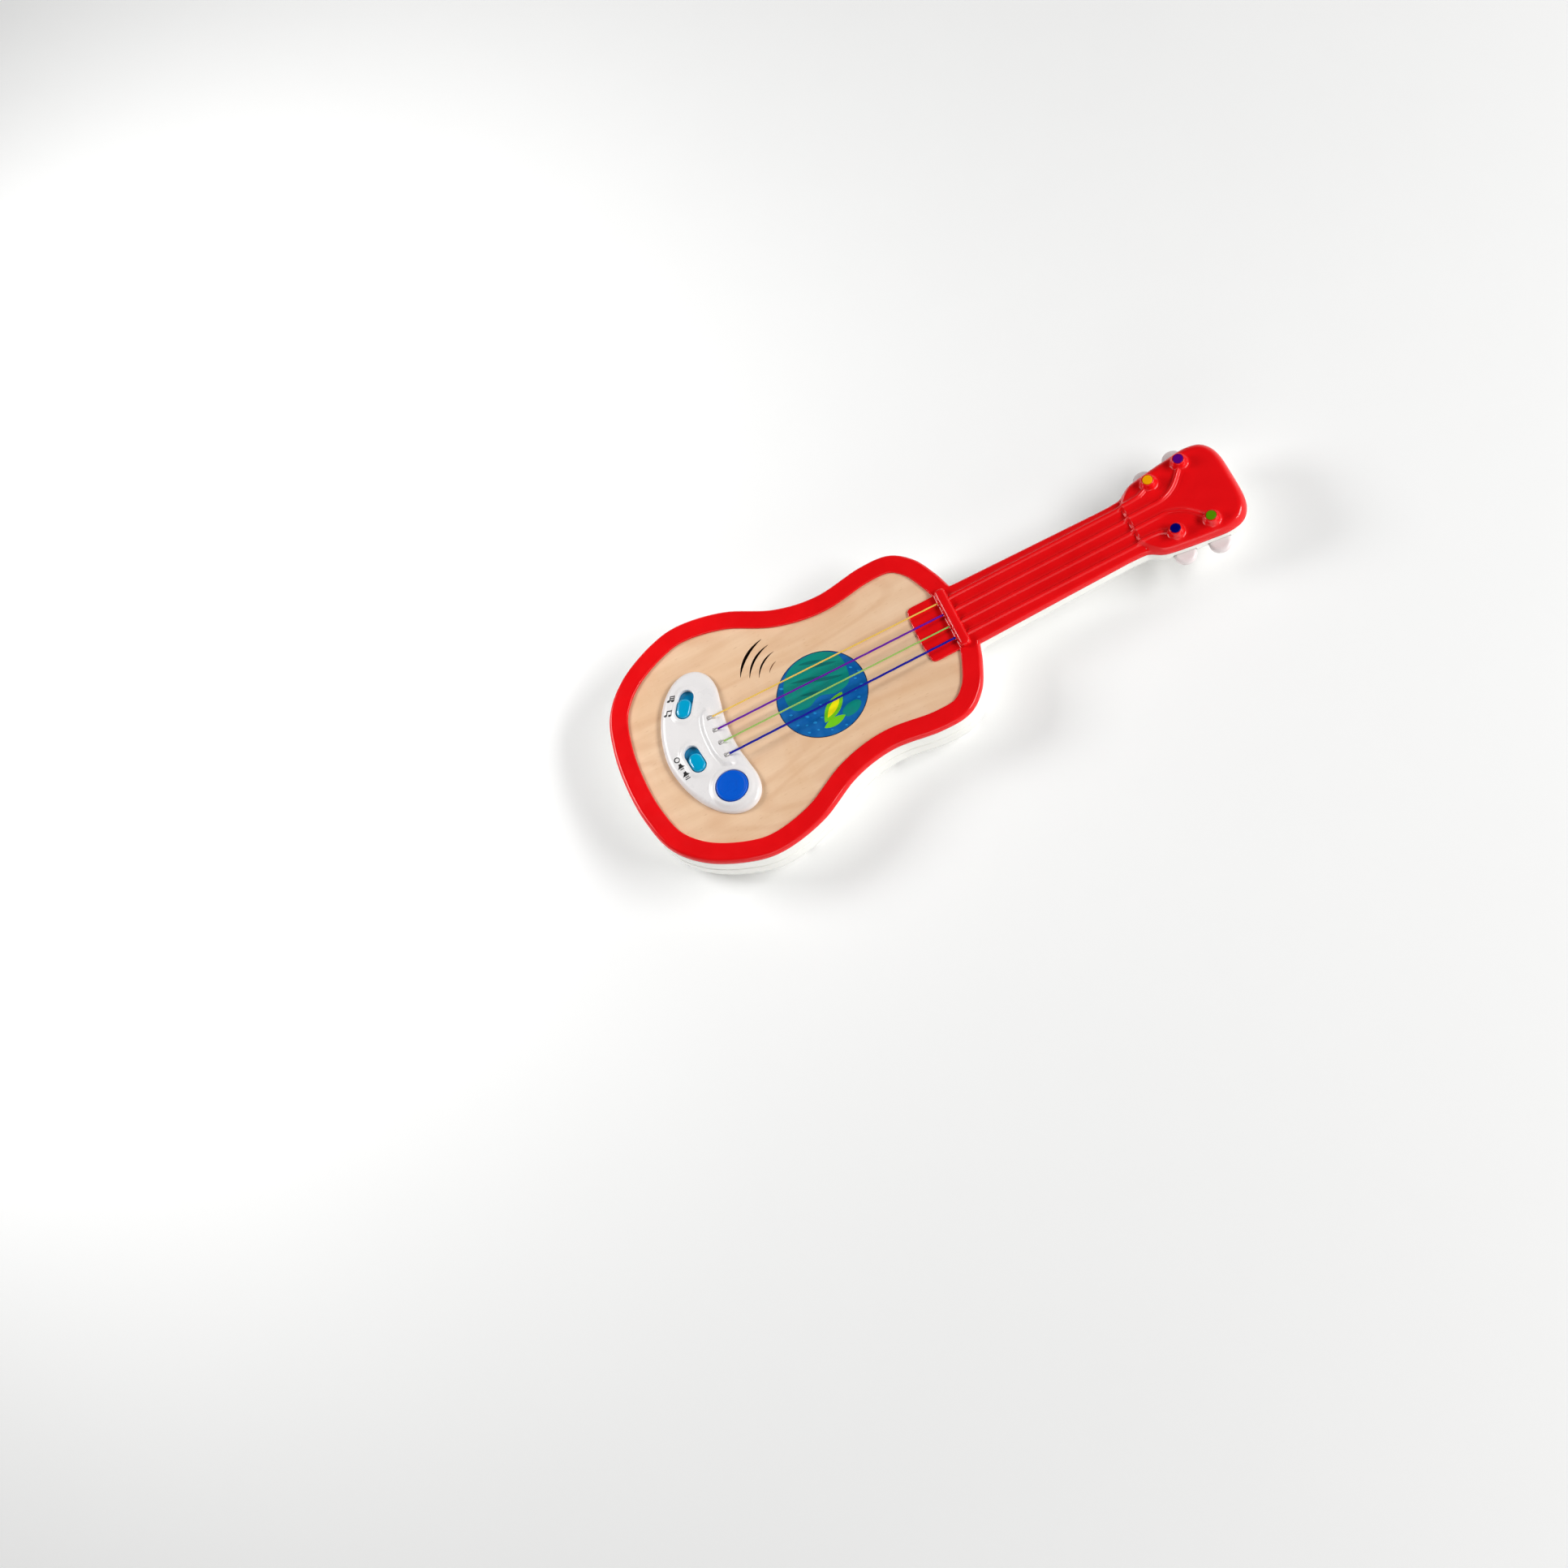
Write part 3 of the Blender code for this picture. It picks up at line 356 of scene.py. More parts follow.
def join(bm, rings):
    """Faces between neighbouring rings; a ring of one point is a tip."""
    for low, high in zip(rings, rings[1:]):
        count = max(len(low), len(high))
        for i in range(count):
            j = (i + 1) % count
            corners = list(dict.fromkeys([low[i % len(low)], low[j % len(low)],
                                          high[j % len(high)], high[i % len(high)]]))
            if len(corners) > 2:
                bm.faces.new(corners)


def skin(rings, closed=False, bm=None):
    """A solid from rings of points, with flat ends unless it closes on itself."""
    bm = bm or bmesh.new()
    made = [[bm.verts.new(point) for point in ring] for ring in rings]
    join(bm, made + made[:1] if closed else made)
    if not closed:
        bm.faces.new(made[0])
        bm.faces.new(made[-1])
    return bm


def level(loop, z):
    return [(x, y, z) for x, y in loop]


def prism(loop, low, high, bm=None):
    return skin([level(loop, low), level(loop, high)], bm=bm)


def block(low, high, bm):
    prism(rectangle(low, high), low[2], high[2], bm)


def turned(profile, centre, sides=48, place=None, bm=None):
    """A round piece from (radius, height) pairs that start and end on its axis."""
    bm = bm or bmesh.new()
    rings = []
    for radius, height in profile:
        points = circle((0, 0), radius, sides) if radius else [(0, 0)]
        spots = [Vector((x, y, height)) for x, y in points]
        if place:
            spots = [place @ spot for spot in spots]
        rings.append([bm.verts.new(spot + Vector(centre)) for spot in spots])
    join(bm, rings)
    return bm


def rounded(corners, radius, steps=5):
    """A profile with its inner corners rounded."""
    points = [corners[0]]
    for before, here, after in zip(corners, corners[1:], corners[2:]):
        a, b, c = Vector(before), Vector(here), Vector(after)
        reach = min(radius, (a - b).length / 2.2, (c - b).length / 2.2)
        first = b + (a - b).normalized() * reach
        last = b + (c - b).normalized() * reach
        for i in range(steps + 1):
            t = i / steps
            points.append(tuple(first.lerp(b, t).lerp(b.lerp(last, t), t)))
    return points + [corners[-1]]


def shaded(mesh, sharp=35):
    mesh.shade_smooth()
    mesh.set_sharp_from_angle(angle=radians(sharp))
    return mesh


def new_object(name, bm, sharp=35):
    """A mesh object in metres, with its faces pointing out."""
    bmesh.ops.recalc_face_normals(bm, faces=bm.faces)
    bmesh.ops.scale(bm, vec=(MM, MM, MM), verts=bm.verts)
    mesh = bpy.data.meshes.new(name)
    bm.to_mesh(mesh)
    bm.free()
    return shown(name, shaded(mesh, sharp))


def piece(name, bm, slot, body="root", nodes=(), look=None, sharp=35):
    """A piece that rides on a body and may stand for CAD nodes."""
    made = new_object(name, bm, sharp)
    made.data.materials.append(look or LOOKS[slot])
    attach(made, body)
    if nodes:
        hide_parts(*nodes)
    return made


def cut(target, bm):
    """Cut away what bm holds, and leave plain geometry."""
    tool = new_object(f"{target.name}_tool", bm)
    change = target.modifiers.new("cut", "BOOLEAN")
    change.operation = "DIFFERENCE"
    change.use_self = True
    change.object = tool
    apply_modifiers(target)
    bpy.data.objects.remove(tool)


def apply_modifiers(target):
    bpy.context.view_layer.update()
    seen = target.evaluated_get(bpy.context.evaluated_depsgraph_get())
    mesh = bpy.data.meshes.new_from_object(seen)
    target.modifiers.clear()
    target.data = shaded(mesh)


# ---- finishes
def tone(colour):
    """A linear colour from three display values of 0 to 255."""
    shares = [value / 255 for value in colour]
    return (*(s / 12.92 if s <= 0.04045 else ((s + 0.055) / 1.055) ** 2.4 for s in shares), 1.0)


class Nodes:
    """Short ways to build a node tree."""

    def __init__(self, tree):
        self.tree = tree

    def node(self, kind, output, settings=None, **inputs):
        """A new node's output; i0, i1 and so on are inputs by number."""
        made = self.tree.nodes.new(f"ShaderNode{kind}")
        for key, value in (settings or {}).items():
            setattr(made, key, value)
        for key, value in inputs.items():
            socket = made.inputs[int(key[1:]) if key[1:].isdigit() else key.replace("_", " ")]
            if isinstance(value, bpy.types.NodeSocket):
                self.tree.links.new(value, socket)
            else:
                socket.default_value = value
        return made.outputs[output]

    def spread(self, value, low, high, start=0.3, end=0.7, shape="LINEAR"):
        return self.node("MapRange", "Result", {"interpolation_type": shape}, Value=value,
                         From_Min=start, From_Max=end, To_Min=low, To_Max=high)

    def maths(self, operation, a, b=0.0):
        return self.node("Math", "Value", {"operation": operation}, i0=a, i1=b)


class Finish(Nodes):
    """A procedural material: a Principled shader and what feeds it."""

    def __init__(self, name, **values):
        self.material = bpy.data.materials.new(name)
        self.material.use_nodes = True
        super().__init__(self.material.node_tree)
        self.shader = self.tree.nodes["Principled BSDF"]
        for key, value in values.items():
            self.shader.inputs[key.replace("_", " ")].default_value = value
        self.place = self.node("TexCoord", "Object")

    def feed(self, **sources):
        """Link sources to the shader, and hand over the material."""
        for key, source in sources.items():
            self.tree.links.new(source, self.shader.inputs[key.replace("_", " ")])
        return self.material

    def stretched(self, scale, turn=(0, 0, 0)):
        return self.node("Mapping", "Vector", Vector=self.place, Scale=scale, Rotation=turn)

    def noise(self, scale, detail=3.0, place=None, distortion=0.0):
        return self.node("TexNoise", "Fac", Vector=place or self.place, Scale=scale,
                         Detail=detail, Distortion=distortion)

    def bands(self, direction, place, **values):
        return self.node("TexWave", "Fac", {"bands_direction": direction}, Vector=place, **values)

    def blend(self, share, a, b):
        """A mix of two colours; three plain numbers are display values."""
        a, b = (tone(c) if isinstance(c, tuple) and len(c) == 3 else c for c in (a, b))
        return self.node("Mix", 2, {"data_type": "RGBA"}, i0=share, i6=a, i7=b)

    def bumps(self, height, strength, distance):
        return self.node("Bump", "Normal", Height=height, Strength=strength, Distance=distance)


def moulded(name, colour, shade, roughness, grain=0.02, **values):
    """Moulded plastic with faint clouds, fine texture and uneven gloss."""
    look = Finish(name, **values)
    cloud = look.noise(38, 4, distortion=0.6)
    fleck = look.spread(look.noise(1100), 0.0, 0.25, 0.6, 0.75)
    return look.feed(
        Base_Color=look.blend(look.maths("ADD", look.spread(cloud, 0.0, 0.8), fleck), colour, shade),
        Roughness=look.spread(look.noise(95, 5), roughness - 0.06, roughness + 0.06),
        Normal=look.bumps(
            look.maths("ADD", look.noise(1400, 2), look.maths("MULTIPLY", look.noise(120, 2), 1.5)),
            grain, 0.0004))


def maple():
    """Pale rotary-cut veneer under satin varnish: broad figure and fine pores."""
    look = Finish("pale_maple", Specular_IOR_Level=0.35, Coat_Weight=0.12, Coat_Roughness=0.35)
    warp = look.noise(9, 3, look.stretched((1, 0.45, 1)), 0.8)
    rings = look.bands(
        "X", look.stretched((1, 0.22, 1), (0, 0, 0.1)), Scale=26, Distortion=9, Detail=3,
        Detail_Scale=1.2, Detail_Roughness=0.55)
    fibre = look.noise(650, 4, look.stretched((1, 0.05, 1)), 0.2)
    pores = look.spread(look.noise(900, 2, look.stretched((1, 0.22, 1))), 0.0, 1.0, 0.66, 0.74)
    curl = look.noise(60, 3, look.stretched((0.5, 1, 1)), 1.2)
    swirl = look.noise(9, 2, look.stretched((1, 0.42, 1), (0, 0, 0.25)), 0.5)
    contour = look.maths("SINE", look.maths("MULTIPLY", swirl, 85.0))
    base = look.blend(look.spread(warp, 0.0, 1.0, 0.35, 0.65), (240, 206, 172), (229, 188, 148))
    for share, colour in (
            (look.spread(rings, 0.0, 0.26, 0.0, 1.0), (214, 166, 122)),
            (look.spread(curl, 0.0, 0.2), (246, 220, 192)),
            (look.spread(fibre, 0.0, 0.16), (216, 170, 130)),
            (look.maths("MULTIPLY", pores, 0.26), (186, 132, 92)),
            (look.spread(contour, 0.0, 0.2, 0.2, 1.0), (206, 152, 110))):
        base = look.blend(share, base, colour)
    return look.feed(
        Base_Color=base, Roughness=look.spread(fibre, 0.42, 0.56),
        Normal=look.bumps(look.maths("SUBTRACT", fibre, pores), 0.08, 0.00015))


def ink(name, colour, shade):
    """Screen-printed ink, with the wood's fibre showing."""
    look = Finish(name, Specular_IOR_Level=0.4)
    mottle = look.noise(210, 5)
    fibre = look.noise(650, 4, look.stretched((1, 0.05, 1)))
    share = look.maths("ADD", look.spread(mottle, 0.0, 0.6), look.spread(fibre, 0.0, 0.3))
    return look.feed(
        Base_Color=look.blend(share, colour, shade),
        Roughness=look.spread(mottle, 0.32, 0.46),
        Normal=look.bumps(fibre, 0.05, 0.00012))


def cord_finish(name, colour, shade):
    """Twisted cord, with painted shade between its strands."""
    look = Finish(name, Specular_IOR_Level=0.3)
    strands = look.bands("Y", look.stretched((0.6, 1, 1)), Scale=210, Distortion=0.6, Detail=1)
    fuzz = look.noise(1800)
    return look.feed(
        # The strands' bands darken the colour between strands as painted shade.
        Base_Color=look.blend(look.maths("MULTIPLY", strands, 0.4), colour, shade),
        Roughness=look.spread(fuzz, 0.34, 0.55),
        Normal=look.bumps(look.maths("ADD", strands, fuzz), 0.12, 0.0001))


def metal(name, colour, roughness, stretch=1.0):
    """Plated steel; a stretch below 1 draws its streaks out along Y."""
    look = Finish(name, Metallic=1.0)
    streak = look.noise(700, 4, look.stretched((1, stretch, 1)))
    dull = (*(0.78 * value for value in tone(colour)[:3]), 1.0)
    return look.feed(
        Base_Color=look.blend(look.noise(160), colour, dull),
        Roughness=look.spread(streak, roughness - 0.06, roughness + 0.12),
        Normal=look.bumps(streak, 0.06, 0.0001))


def circuit_board():
    """Green lacquer over paler tracks."""
    look = Finish("board_mask", Coat_Weight=0.4, Coat_Roughness=0.2)
    tracks = look.node(
        "TexBrick", "Fac", Vector=look.place, Scale=220, Mortar_Size=0.05, Row_Height=0.35)
    colour = look.blend(look.maths("MULTIPLY", tracks, 0.6), (18, 84, 46), (60, 128, 74))
    return look.feed(
        Base_Color=colour, Roughness=look.spread(look.noise(300), 0.35, 0.5),
        Normal=look.bumps(tracks, 0.2, 0.00006))


def cell_wrap(tip):
    """Foil sleeve of a battery cell, with a band at its tip: 1 is up in Y and -1 down."""
    look = Finish("cell_sleeve", Metallic=0.6)
    low, high = box("battery_cell_1")
    band_edge = high.y - 12 if tip > 0 else low.y + 12
    height = look.node("SeparateXYZ", "Y", Vector=look.place)
    band = look.maths("GREATER_THAN", look.maths("MULTIPLY", height, tip), band_edge * tip * MM)
    base = look.blend(look.noise(70), (146, 149, 154), (172, 174, 178))
    return look.feed(
        Base_Color=look.blend(band, base, (196, 128, 44)),
        Roughness=look.spread(look.noise(240), 0.26, 0.42),
        Normal=look.bumps(look.noise(900), 0.04, 0.0001))


LOOKS = {
    "shell_red": moulded("gloss_red", (235, 17, 22), (221, 12, 17), 0.2, Coat_Weight=0.1,
                         Coat_Roughness=0.08, Specular_IOR_Level=0.32),
    "shell_white": moulded("gloss_white", (246, 245, 240), (238, 237, 231), 0.22, Coat_Weight=0.2,
                           Coat_Roughness=0.1),
    "panel_white": moulded("panel_gloss", (236, 233, 232), (227, 224, 224), 0.3, Coat_Weight=0.12,
                           Coat_Roughness=0.18),
    "face_wood": maple(),
    "slider_cyan": moulded("gloss_cyan", (0, 166, 208), (0, 152, 198), 0.18, Coat_Weight=0.4,
                           Coat_Roughness=0.06, Subsurface_Weight=0.08, Subsurface_Scale=0.002),
    # The skirt is the slider's own cyan plastic, made darker as painted shade for the well it sits
    # in.
    "skirt": moulded("shaded_cyan", (2, 134, 184), (0, 122, 172), 0.24),
    "button_blue": moulded("satin_blue", (0, 92, 210), (0, 84, 198), 0.34, Specular_IOR_Level=0.2),
    "knob_white": moulded("satin_white", (232, 220, 219), (224, 210, 210), 0.3),
    "steel": metal("bright_steel", (196, 196, 200), 0.28, 0.46),
    "sleeve": metal("satin_sleeve", (226, 224, 222), 0.5),
    "board_green": circuit_board(),
    "black_part": moulded("black_plastic", (24, 24, 26), (18, 18, 20), 0.45),
    "speaker_paper": moulded("pressed_paper", (44, 41, 38), (32, 30, 28), 0.8, grain=0.3),
    "cell_wrap": cell_wrap(1),
    "clear_rubber": moulded("clear_rubber", (204, 204, 198), (190, 190, 184), 0.5,
                            Transmission_Weight=0.3),
    "wire_red": moulded("wire_sleeve", (186, 20, 20), (160, 12, 14), 0.4),
}
for hue, dot, dot_shade, cord, cord_shade in (
        ("yellow", (240, 166, 4), (230, 154, 2), (240, 200, 92), (226, 172, 52)),
        ("purple", (90, 2, 126), (80, 1, 114), (104, 0, 168), (72, 0, 122)),
        ("green", (86, 142, 2), (78, 130, 1), (158, 198, 100), (124, 172, 72)),
        ("blue", (2, 2, 106), (1, 1, 94), (6, 10, 156), (2, 2, 112))):
    LOOKS[f"dot_{hue}"] = moulded(f"dot_{hue}", dot, dot_shade, 0.26, Specular_IOR_Level=0.2)
    LOOKS[f"string_{hue}"] = cord_finish(f"cord_{hue}", cord, cord_shade)
INKS = {name: ink(f"ink_{name}", colour, shade) for name, colour, shade in (
    ("outline", (8, 24, 52), (16, 34, 64)), ("blue", (1, 84, 156), (4, 104, 176)),
    ("sky", (34, 150, 214), (20, 126, 196)), ("teal", (1, 142, 127), (6, 124, 116)),
    ("deep", (4, 110, 104), (2, 96, 96)), ("lime", (120, 208, 26), (104, 190, 20)),
    ("yellow", (248, 240, 12), (236, 222, 8)), ("black", (14, 13, 14), (24, 22, 22)),
    # The last ink is painted shade: near black, for the walls of the sound slots.
    ("scorch", (120, 78, 48), (88, 52, 30)), ("slot_shade", (34, 20, 12), (58, 34, 20)))}


# ---- outlines
BODY_SIDE = smooth(BODY_KNOTS, mirrored(BODY_KNOTS[1]), (9, 29))
HEAD_SIDE = smooth(HEAD_KNOTS, (20, 118), mirrored(HEAD_KNOTS[-2]))
WHOLE = both_sides(BODY_SIDE + even([BODY_SIDE[-1], HEAD_SIDE[0]], 4)[1:-1] + HEAD_SIDE)
WHOLE_Y = np.array(WHOLE)[:, 1]
BODY_LOOP = both_sides(BODY_SIDE + [(0, BODY_SIDE[-1][1] + 2)])
OPENING = both_sides(
    [point for point in inset(BODY_LOOP, RIM_WIDTH)[:len(BODY_SIDE)]
     if point[0] > TONGUE_KNOTS[0][0] + 0.3 or point[1] < 0]
    + even(smooth(TONGUE_KNOTS, (20.2, 20), mirrored(TONGUE_KNOTS[-2]), 6), 1.5))
PANEL = both_sides(smooth(PANEL_KNOTS, mirrored(PANEL_KNOTS[1]), mirrored(PANEL_KNOTS[-2]), 12))
RIDGE = both_sides(smooth(RIDGE_KNOTS, mirrored(RIDGE_KNOTS[1]), mirrored(RIDGE_KNOTS[-2]), 6))


# ---- front shell
CREST_HIGH, CREST_REACH = 1.25, 1.85  # the narrow top of a moulded string
BASE_HIGH, BASE_REACH = 0.85, 4.3  # the broad swell that it stands on
EDGE_R = (2.4, 2.6, 5.2)  # rounding of the body, neck and head
LIP_R = 0.9
BOSS_PROFILE = [
    (0, PEG_TOP), (3.3, PEG_TOP), (3.6, PEG_TOP - 0.06), (3.85, PEG_TOP - 0.25),
    (4.05, PEG_TOP - 0.6), (4.18, PEG_TOP - 1.1), (4.3, PEG_TOP - 1.7), (4.5, 38.0), (4.65, 37.3),
    (4.85, 36.75), (5.15, 36.3), (5.6, 35.92), (6.2, 35.68), (6.8, 35.56), (7.4, 35.5)]
BOSS_RECESS = 3.3
# Centre lines of the raised strings, from the bar to the pegs
MOULDED_LINES = []
for x, path in ((4.5, [(4.5, 152), (5, 161), (9.5, 170.5), (18.5, 179)]),
                (13.5, [(13.7, 146), (14.4, 150.5), (16.6, 155.5)])):
    route = smooth([(x, 130), (x, 141), *path], (x, 120), path[-1], 8)
    line = even([(x, BAR_Y[1] + 0.1), (x, 130)], 4)[:-1] + route
    MOULDED_LINES += [line, [mirrored(point) for point in line]]


def edge_radius(y):
    return mix(mix(EDGE_R[0], EDGE_R[1], step_up(y, 20, 40)), EDGE_R[2], step_up(y, 135, 146))


def nut_line(x, share):
    """Where the step up to the head starts (0) and ends (1)."""
    beyond = np.maximum(0, abs(x) - 14.5)
    return mix(NUT_Y[0] + 0.5 * beyond, NUT_Y[1] + 0.95 * beyond, share)


def front_top(spots):
    x, y = spots.T
    past_nut = step_up(y, nut_line(x, 0), nut_line(x, 1))
    face = mix(RIM_FACE, RIM_FACE + HEAD_RISE, past_nut)
    on_tongue = step_up(-y, -13.9, -12.8) * step_up(y, -14, -10) * step_up(-abs(x), -21.4, -20.4)
    crest = CREST_HIGH + HEAD_RISE * (step_up(y, 134.4, NUT_Y[1] + 0.3) - past_nut)
    strings = []
    for line in MOULDED_LINES:
        away = distance_to(spots, line, False)
        strings.append(crest * (1 - np.clip(away / CREST_REACH, 0, 1) ** 2) ** 1.5
                       + BASE_HIGH * (1 - step_up(away, 0, BASE_REACH)))
    peg_away = [np.hypot(*(spots - centre).T) for centre in PEGS.values()]
    bosses = [np.interp(away, *zip(*BOSS_PROFILE)) - (RIM_FACE + HEAD_RISE) for away in peg_away]
    radius = edge_radius(y)
    height = (face - 0.4 * on_tongue
              - round_over(distance_to(spots, WHOLE), radius, face - FRONT_LOW - 0.2)
              - round_over(distance_to(spots, OPENING), LIP_R) + blended(*strings, *bosses))
    return np.where(np.min(peg_away, axis=0) < BOSS_RECESS - 0.01, PEG_TOP - 1.0, height)


def front_under(spots):
    y = spots[:, 1]
    deep = distance_to(spots, WHOLE) > 2.3
    head = step_up(y, *NUT_Y) * 1.8
    return np.where(deep, RIM_UNDERSIDE - 0.1 + head, FRONT_LOW)


def offset_line(line, distance):
    """An open line moved sideways."""
    moved = []
    for i, point in enumerate(line):
        ahead = (Vector(line[min(i + 1, len(line) - 1)]) - Vector(line[max(i - 1, 0)])).normalized()
        moved.append(tuple(Vector(point) + Vector((-ahead.y, ahead.x)) * distance))
    return moved


def front_skin():
    radii = edge_radius(WHOLE_Y)
    guides = [inset(WHOLE, radii * share) for share in round_steps(1.0, 9, 0.1)]
    guides += [inset(WHOLE, depth) for depth in (2.25, 2.35)]
    guides += [inset(OPENING, -depth) for depth in round_steps(LIP_R, 5)]
    for centre in PEGS.values():
        guides += [circle(centre, radius, 80) for radius in
                   (BOSS_RECESS - 0.02, *dict(BOSS_PROFILE[1:]), 7.8)]
    lines = []
    for line in MOULDED_LINES:
        lines += [offset_line(line, away * side) for side in (1, -1) for away in
                  (0.3, 0.6, 0.9, 1.2, 1.5, 1.75, 1.95, 2.4, 2.9, 3.4, 3.9, 4.3, 4.5)] + [line]
    for share in np.linspace(-0.1, 1.15, 15):
        side = [(x, nut_line(x, share)) for x in (22.2, 20.5, 18.5, 16.5, 14.5)]
        lines.append(even(side + [mirrored(point) for point in side[::-1]], 1.0))
    lines += [across(17, y, 1.2) for y in np.arange(133.8, NUT_Y[0] - 0.3, 0.6)]
    lines += [across(20, y, 2) for y in (12.5, 12.8, 13.1, 13.4, 13.7, 14.0, 14.3)]
    made = shell(*plan(WHOLE, [OPENING], guides, lines), front_top, front_under)
    piece("front_skin", made, "shell_red", nodes=["front_shell"], sharp=40)


# ---- back shell
BODY_ROUND, NECK_ROUND = 13.0, 10.0
NECK_UP, HEAD_UP = 14.0, 3.0  # how far the back rises, and where it does
NECK_RUN, HEAD_RUN = (6, 30), (134, 152)
WALL = 2.2
SEAM = [(19.8, 0.0), (19.45, 0.6), (18.95, 0.6), (18.6, 0.0)]
WELL_R, WELL_TOP = 3.1, 20.0  # for a case screw's head
BORE_R, BORE_TOP = 1.7, 26.4
POST_R, POST_TOP = 5.0, 27.2
SCREW_SPOTS = [middle(f"case_screw_{number}").xy for number in range(1, 11)]


def back_round(y):
    return mix(BODY_ROUND, NECK_ROUND, step_up(y, *NECK_RUN))


def back_low(spots, thick=0.0):
    """The back's outer surface, or the floor of the room inside."""
    y = spots[:, 1]
    base = NECK_UP * step_up(y, *NECK_RUN) + HEAD_UP * step_up(y, *HEAD_RUN)
    radius = back_round(y) - 2.0 * step_up(y, *HEAD_RUN)
    away = distance_to(spots, WHOLE)
    return base + thick + round_over(np.maximum(away - thick, 0), radius - thick)


def near_screws(spots):
    """The distance from the nearest case screw."""
    return np.min([np.hypot(*(spots - centre).T) for centre in SCREW_SPOTS], axis=0)


def back_inside(spots):
    in_wall = distance_to(spots, WHOLE) < WALL + 0.05
    inner = np.where(near_screws(spots) < POST_R, POST_TOP, back_low(spots, WALL))
    return np.where(in_wall, BACK_TOP, inner)


def back_outside(spots):
    """The back, with a well and a bore for each screw."""
    away = near_screws(spots)
    well = np.where(away < WELL_R - 0.01, WELL_TOP, back_low(spots))
    return np.where(away < BORE_R - 0.01, BORE_TOP, well)


def back_skin():
    radii = back_round(WHOLE_Y)
    guides = [inset(WHOLE, radii * share) for share in round_steps(1.0, 8)]
    guides += [inset(WHOLE, depth) for depth in (WALL, WALL + 0.1)]
    for centre in SCREW_SPOTS:
        guides += [circle(centre, radius, 40) for radius in
                   (BORE_R - 0.02, BORE_R, WELL_R - 0.02, WELL_R, 3.4, POST_R - 0.02, POST_R + 0.02)]
    lines = [across(30, y, 3) for y in np.linspace(2, 34, 20)]
    lines += [across(18, y, 3) for y in np.linspace(132, 154, 12)]
    bm = shell(*plan(WHOLE, [], guides, lines), back_inside, back_outside, grooves=SEAM)
    made = piece("back_skin", bm, "shell_white", nodes=["back_shell"])
    knob_slots = bmesh.new()
    for number in range(1, 5):
        low, high = box(f"tuning_knob_{number}")
        prism(circle((low + high).xy / 2, (high.x - low.x) / 2 + GAP, 72),
              low.z - GAP, high.z + GAP, knob_slots)
    cut(made, knob_slots)
    low, high = box("battery_door")
    bay = bmesh.new()
    block((low.x - GAP, -73 - GAP, -1), (high.x + GAP, high.y + GAP, 2.1), bay)
    block((-17.4, -70, 1), (17.4, -16, 6), bay)
    for side in (12, -12):
        block((side - 4.5, -75.3, 0.6), (side + 4.5, -71.6, 2.9), bay)
    cut(made, bay)


# ---- wooden face
CLOTH_REACH = (33.0, 16.0)  # from the centre of the sound arcs
ARC_LIP = 0.25


def soundboard():
    outline = inset(BODY_LOOP, BOARD_INSET)
    arcs = [arc_slot(*arc) for arc in SOUND_ARCS]
    slots = [capsule(centre, 6.4, 2.7, turn) for centre, turn in SLOTS.values()]
    guides = [inset(arc, -ARC_LIP) for arc in arcs]
    cuts = plan(outline, arcs + slots + [circle(BUTTON, 12.5, 48)], guides)

    def top(spots):
        away = np.min([distance_to(spots, arc) for arc in arcs], axis=0)
        return BOARD_TOP - round_over(away, ARC_LIP)

    board = piece("wood_face", shell(*cuts, top, flat(BOARD_LOW), wall_look=1), "face_wood",
                  nodes=["soundboard"])
    # The slot walls take the near-black ink, painted shade for the dark inside of the slots.
    board.data.materials.append(INKS["slot_shade"])
    outer, inner = ([polar(ARC_CENTRE, reach, radians(ARC_MIDDLE + turn))
                     for turn in range(-35, 36, 5)] for reach in CLOTH_REACH)
    cloth = prism(outer + inner[::-1], BOARD_LOW - 0.25, BOARD_LOW - 0.05)
    piece("grille_cloth", cloth, "speaker_paper")
    scorch = print_loops([arc_slot(12.0, 21.0, 0.7)], flat(BOARD_TOP), 0.02)
    piece("scorched_arc", scorch, "face_wood", look=INKS["scorch"])


def flat(height):
    return lambda spots: np.full(len(spots), height)


def print_loops(loops, surface, rise, step=0.0, holes=()):
    """Thin ink that follows a surface, each loop a step above the last."""
    bm = bmesh.new()
    for number, loop in enumerate(loops):
        lift = rise + step * number
        shell(*plan(loop, holes), lambda spots: surface(spots) + lift,
              lambda spots: surface(spots) - 0.05, bm=bm)
    return bm


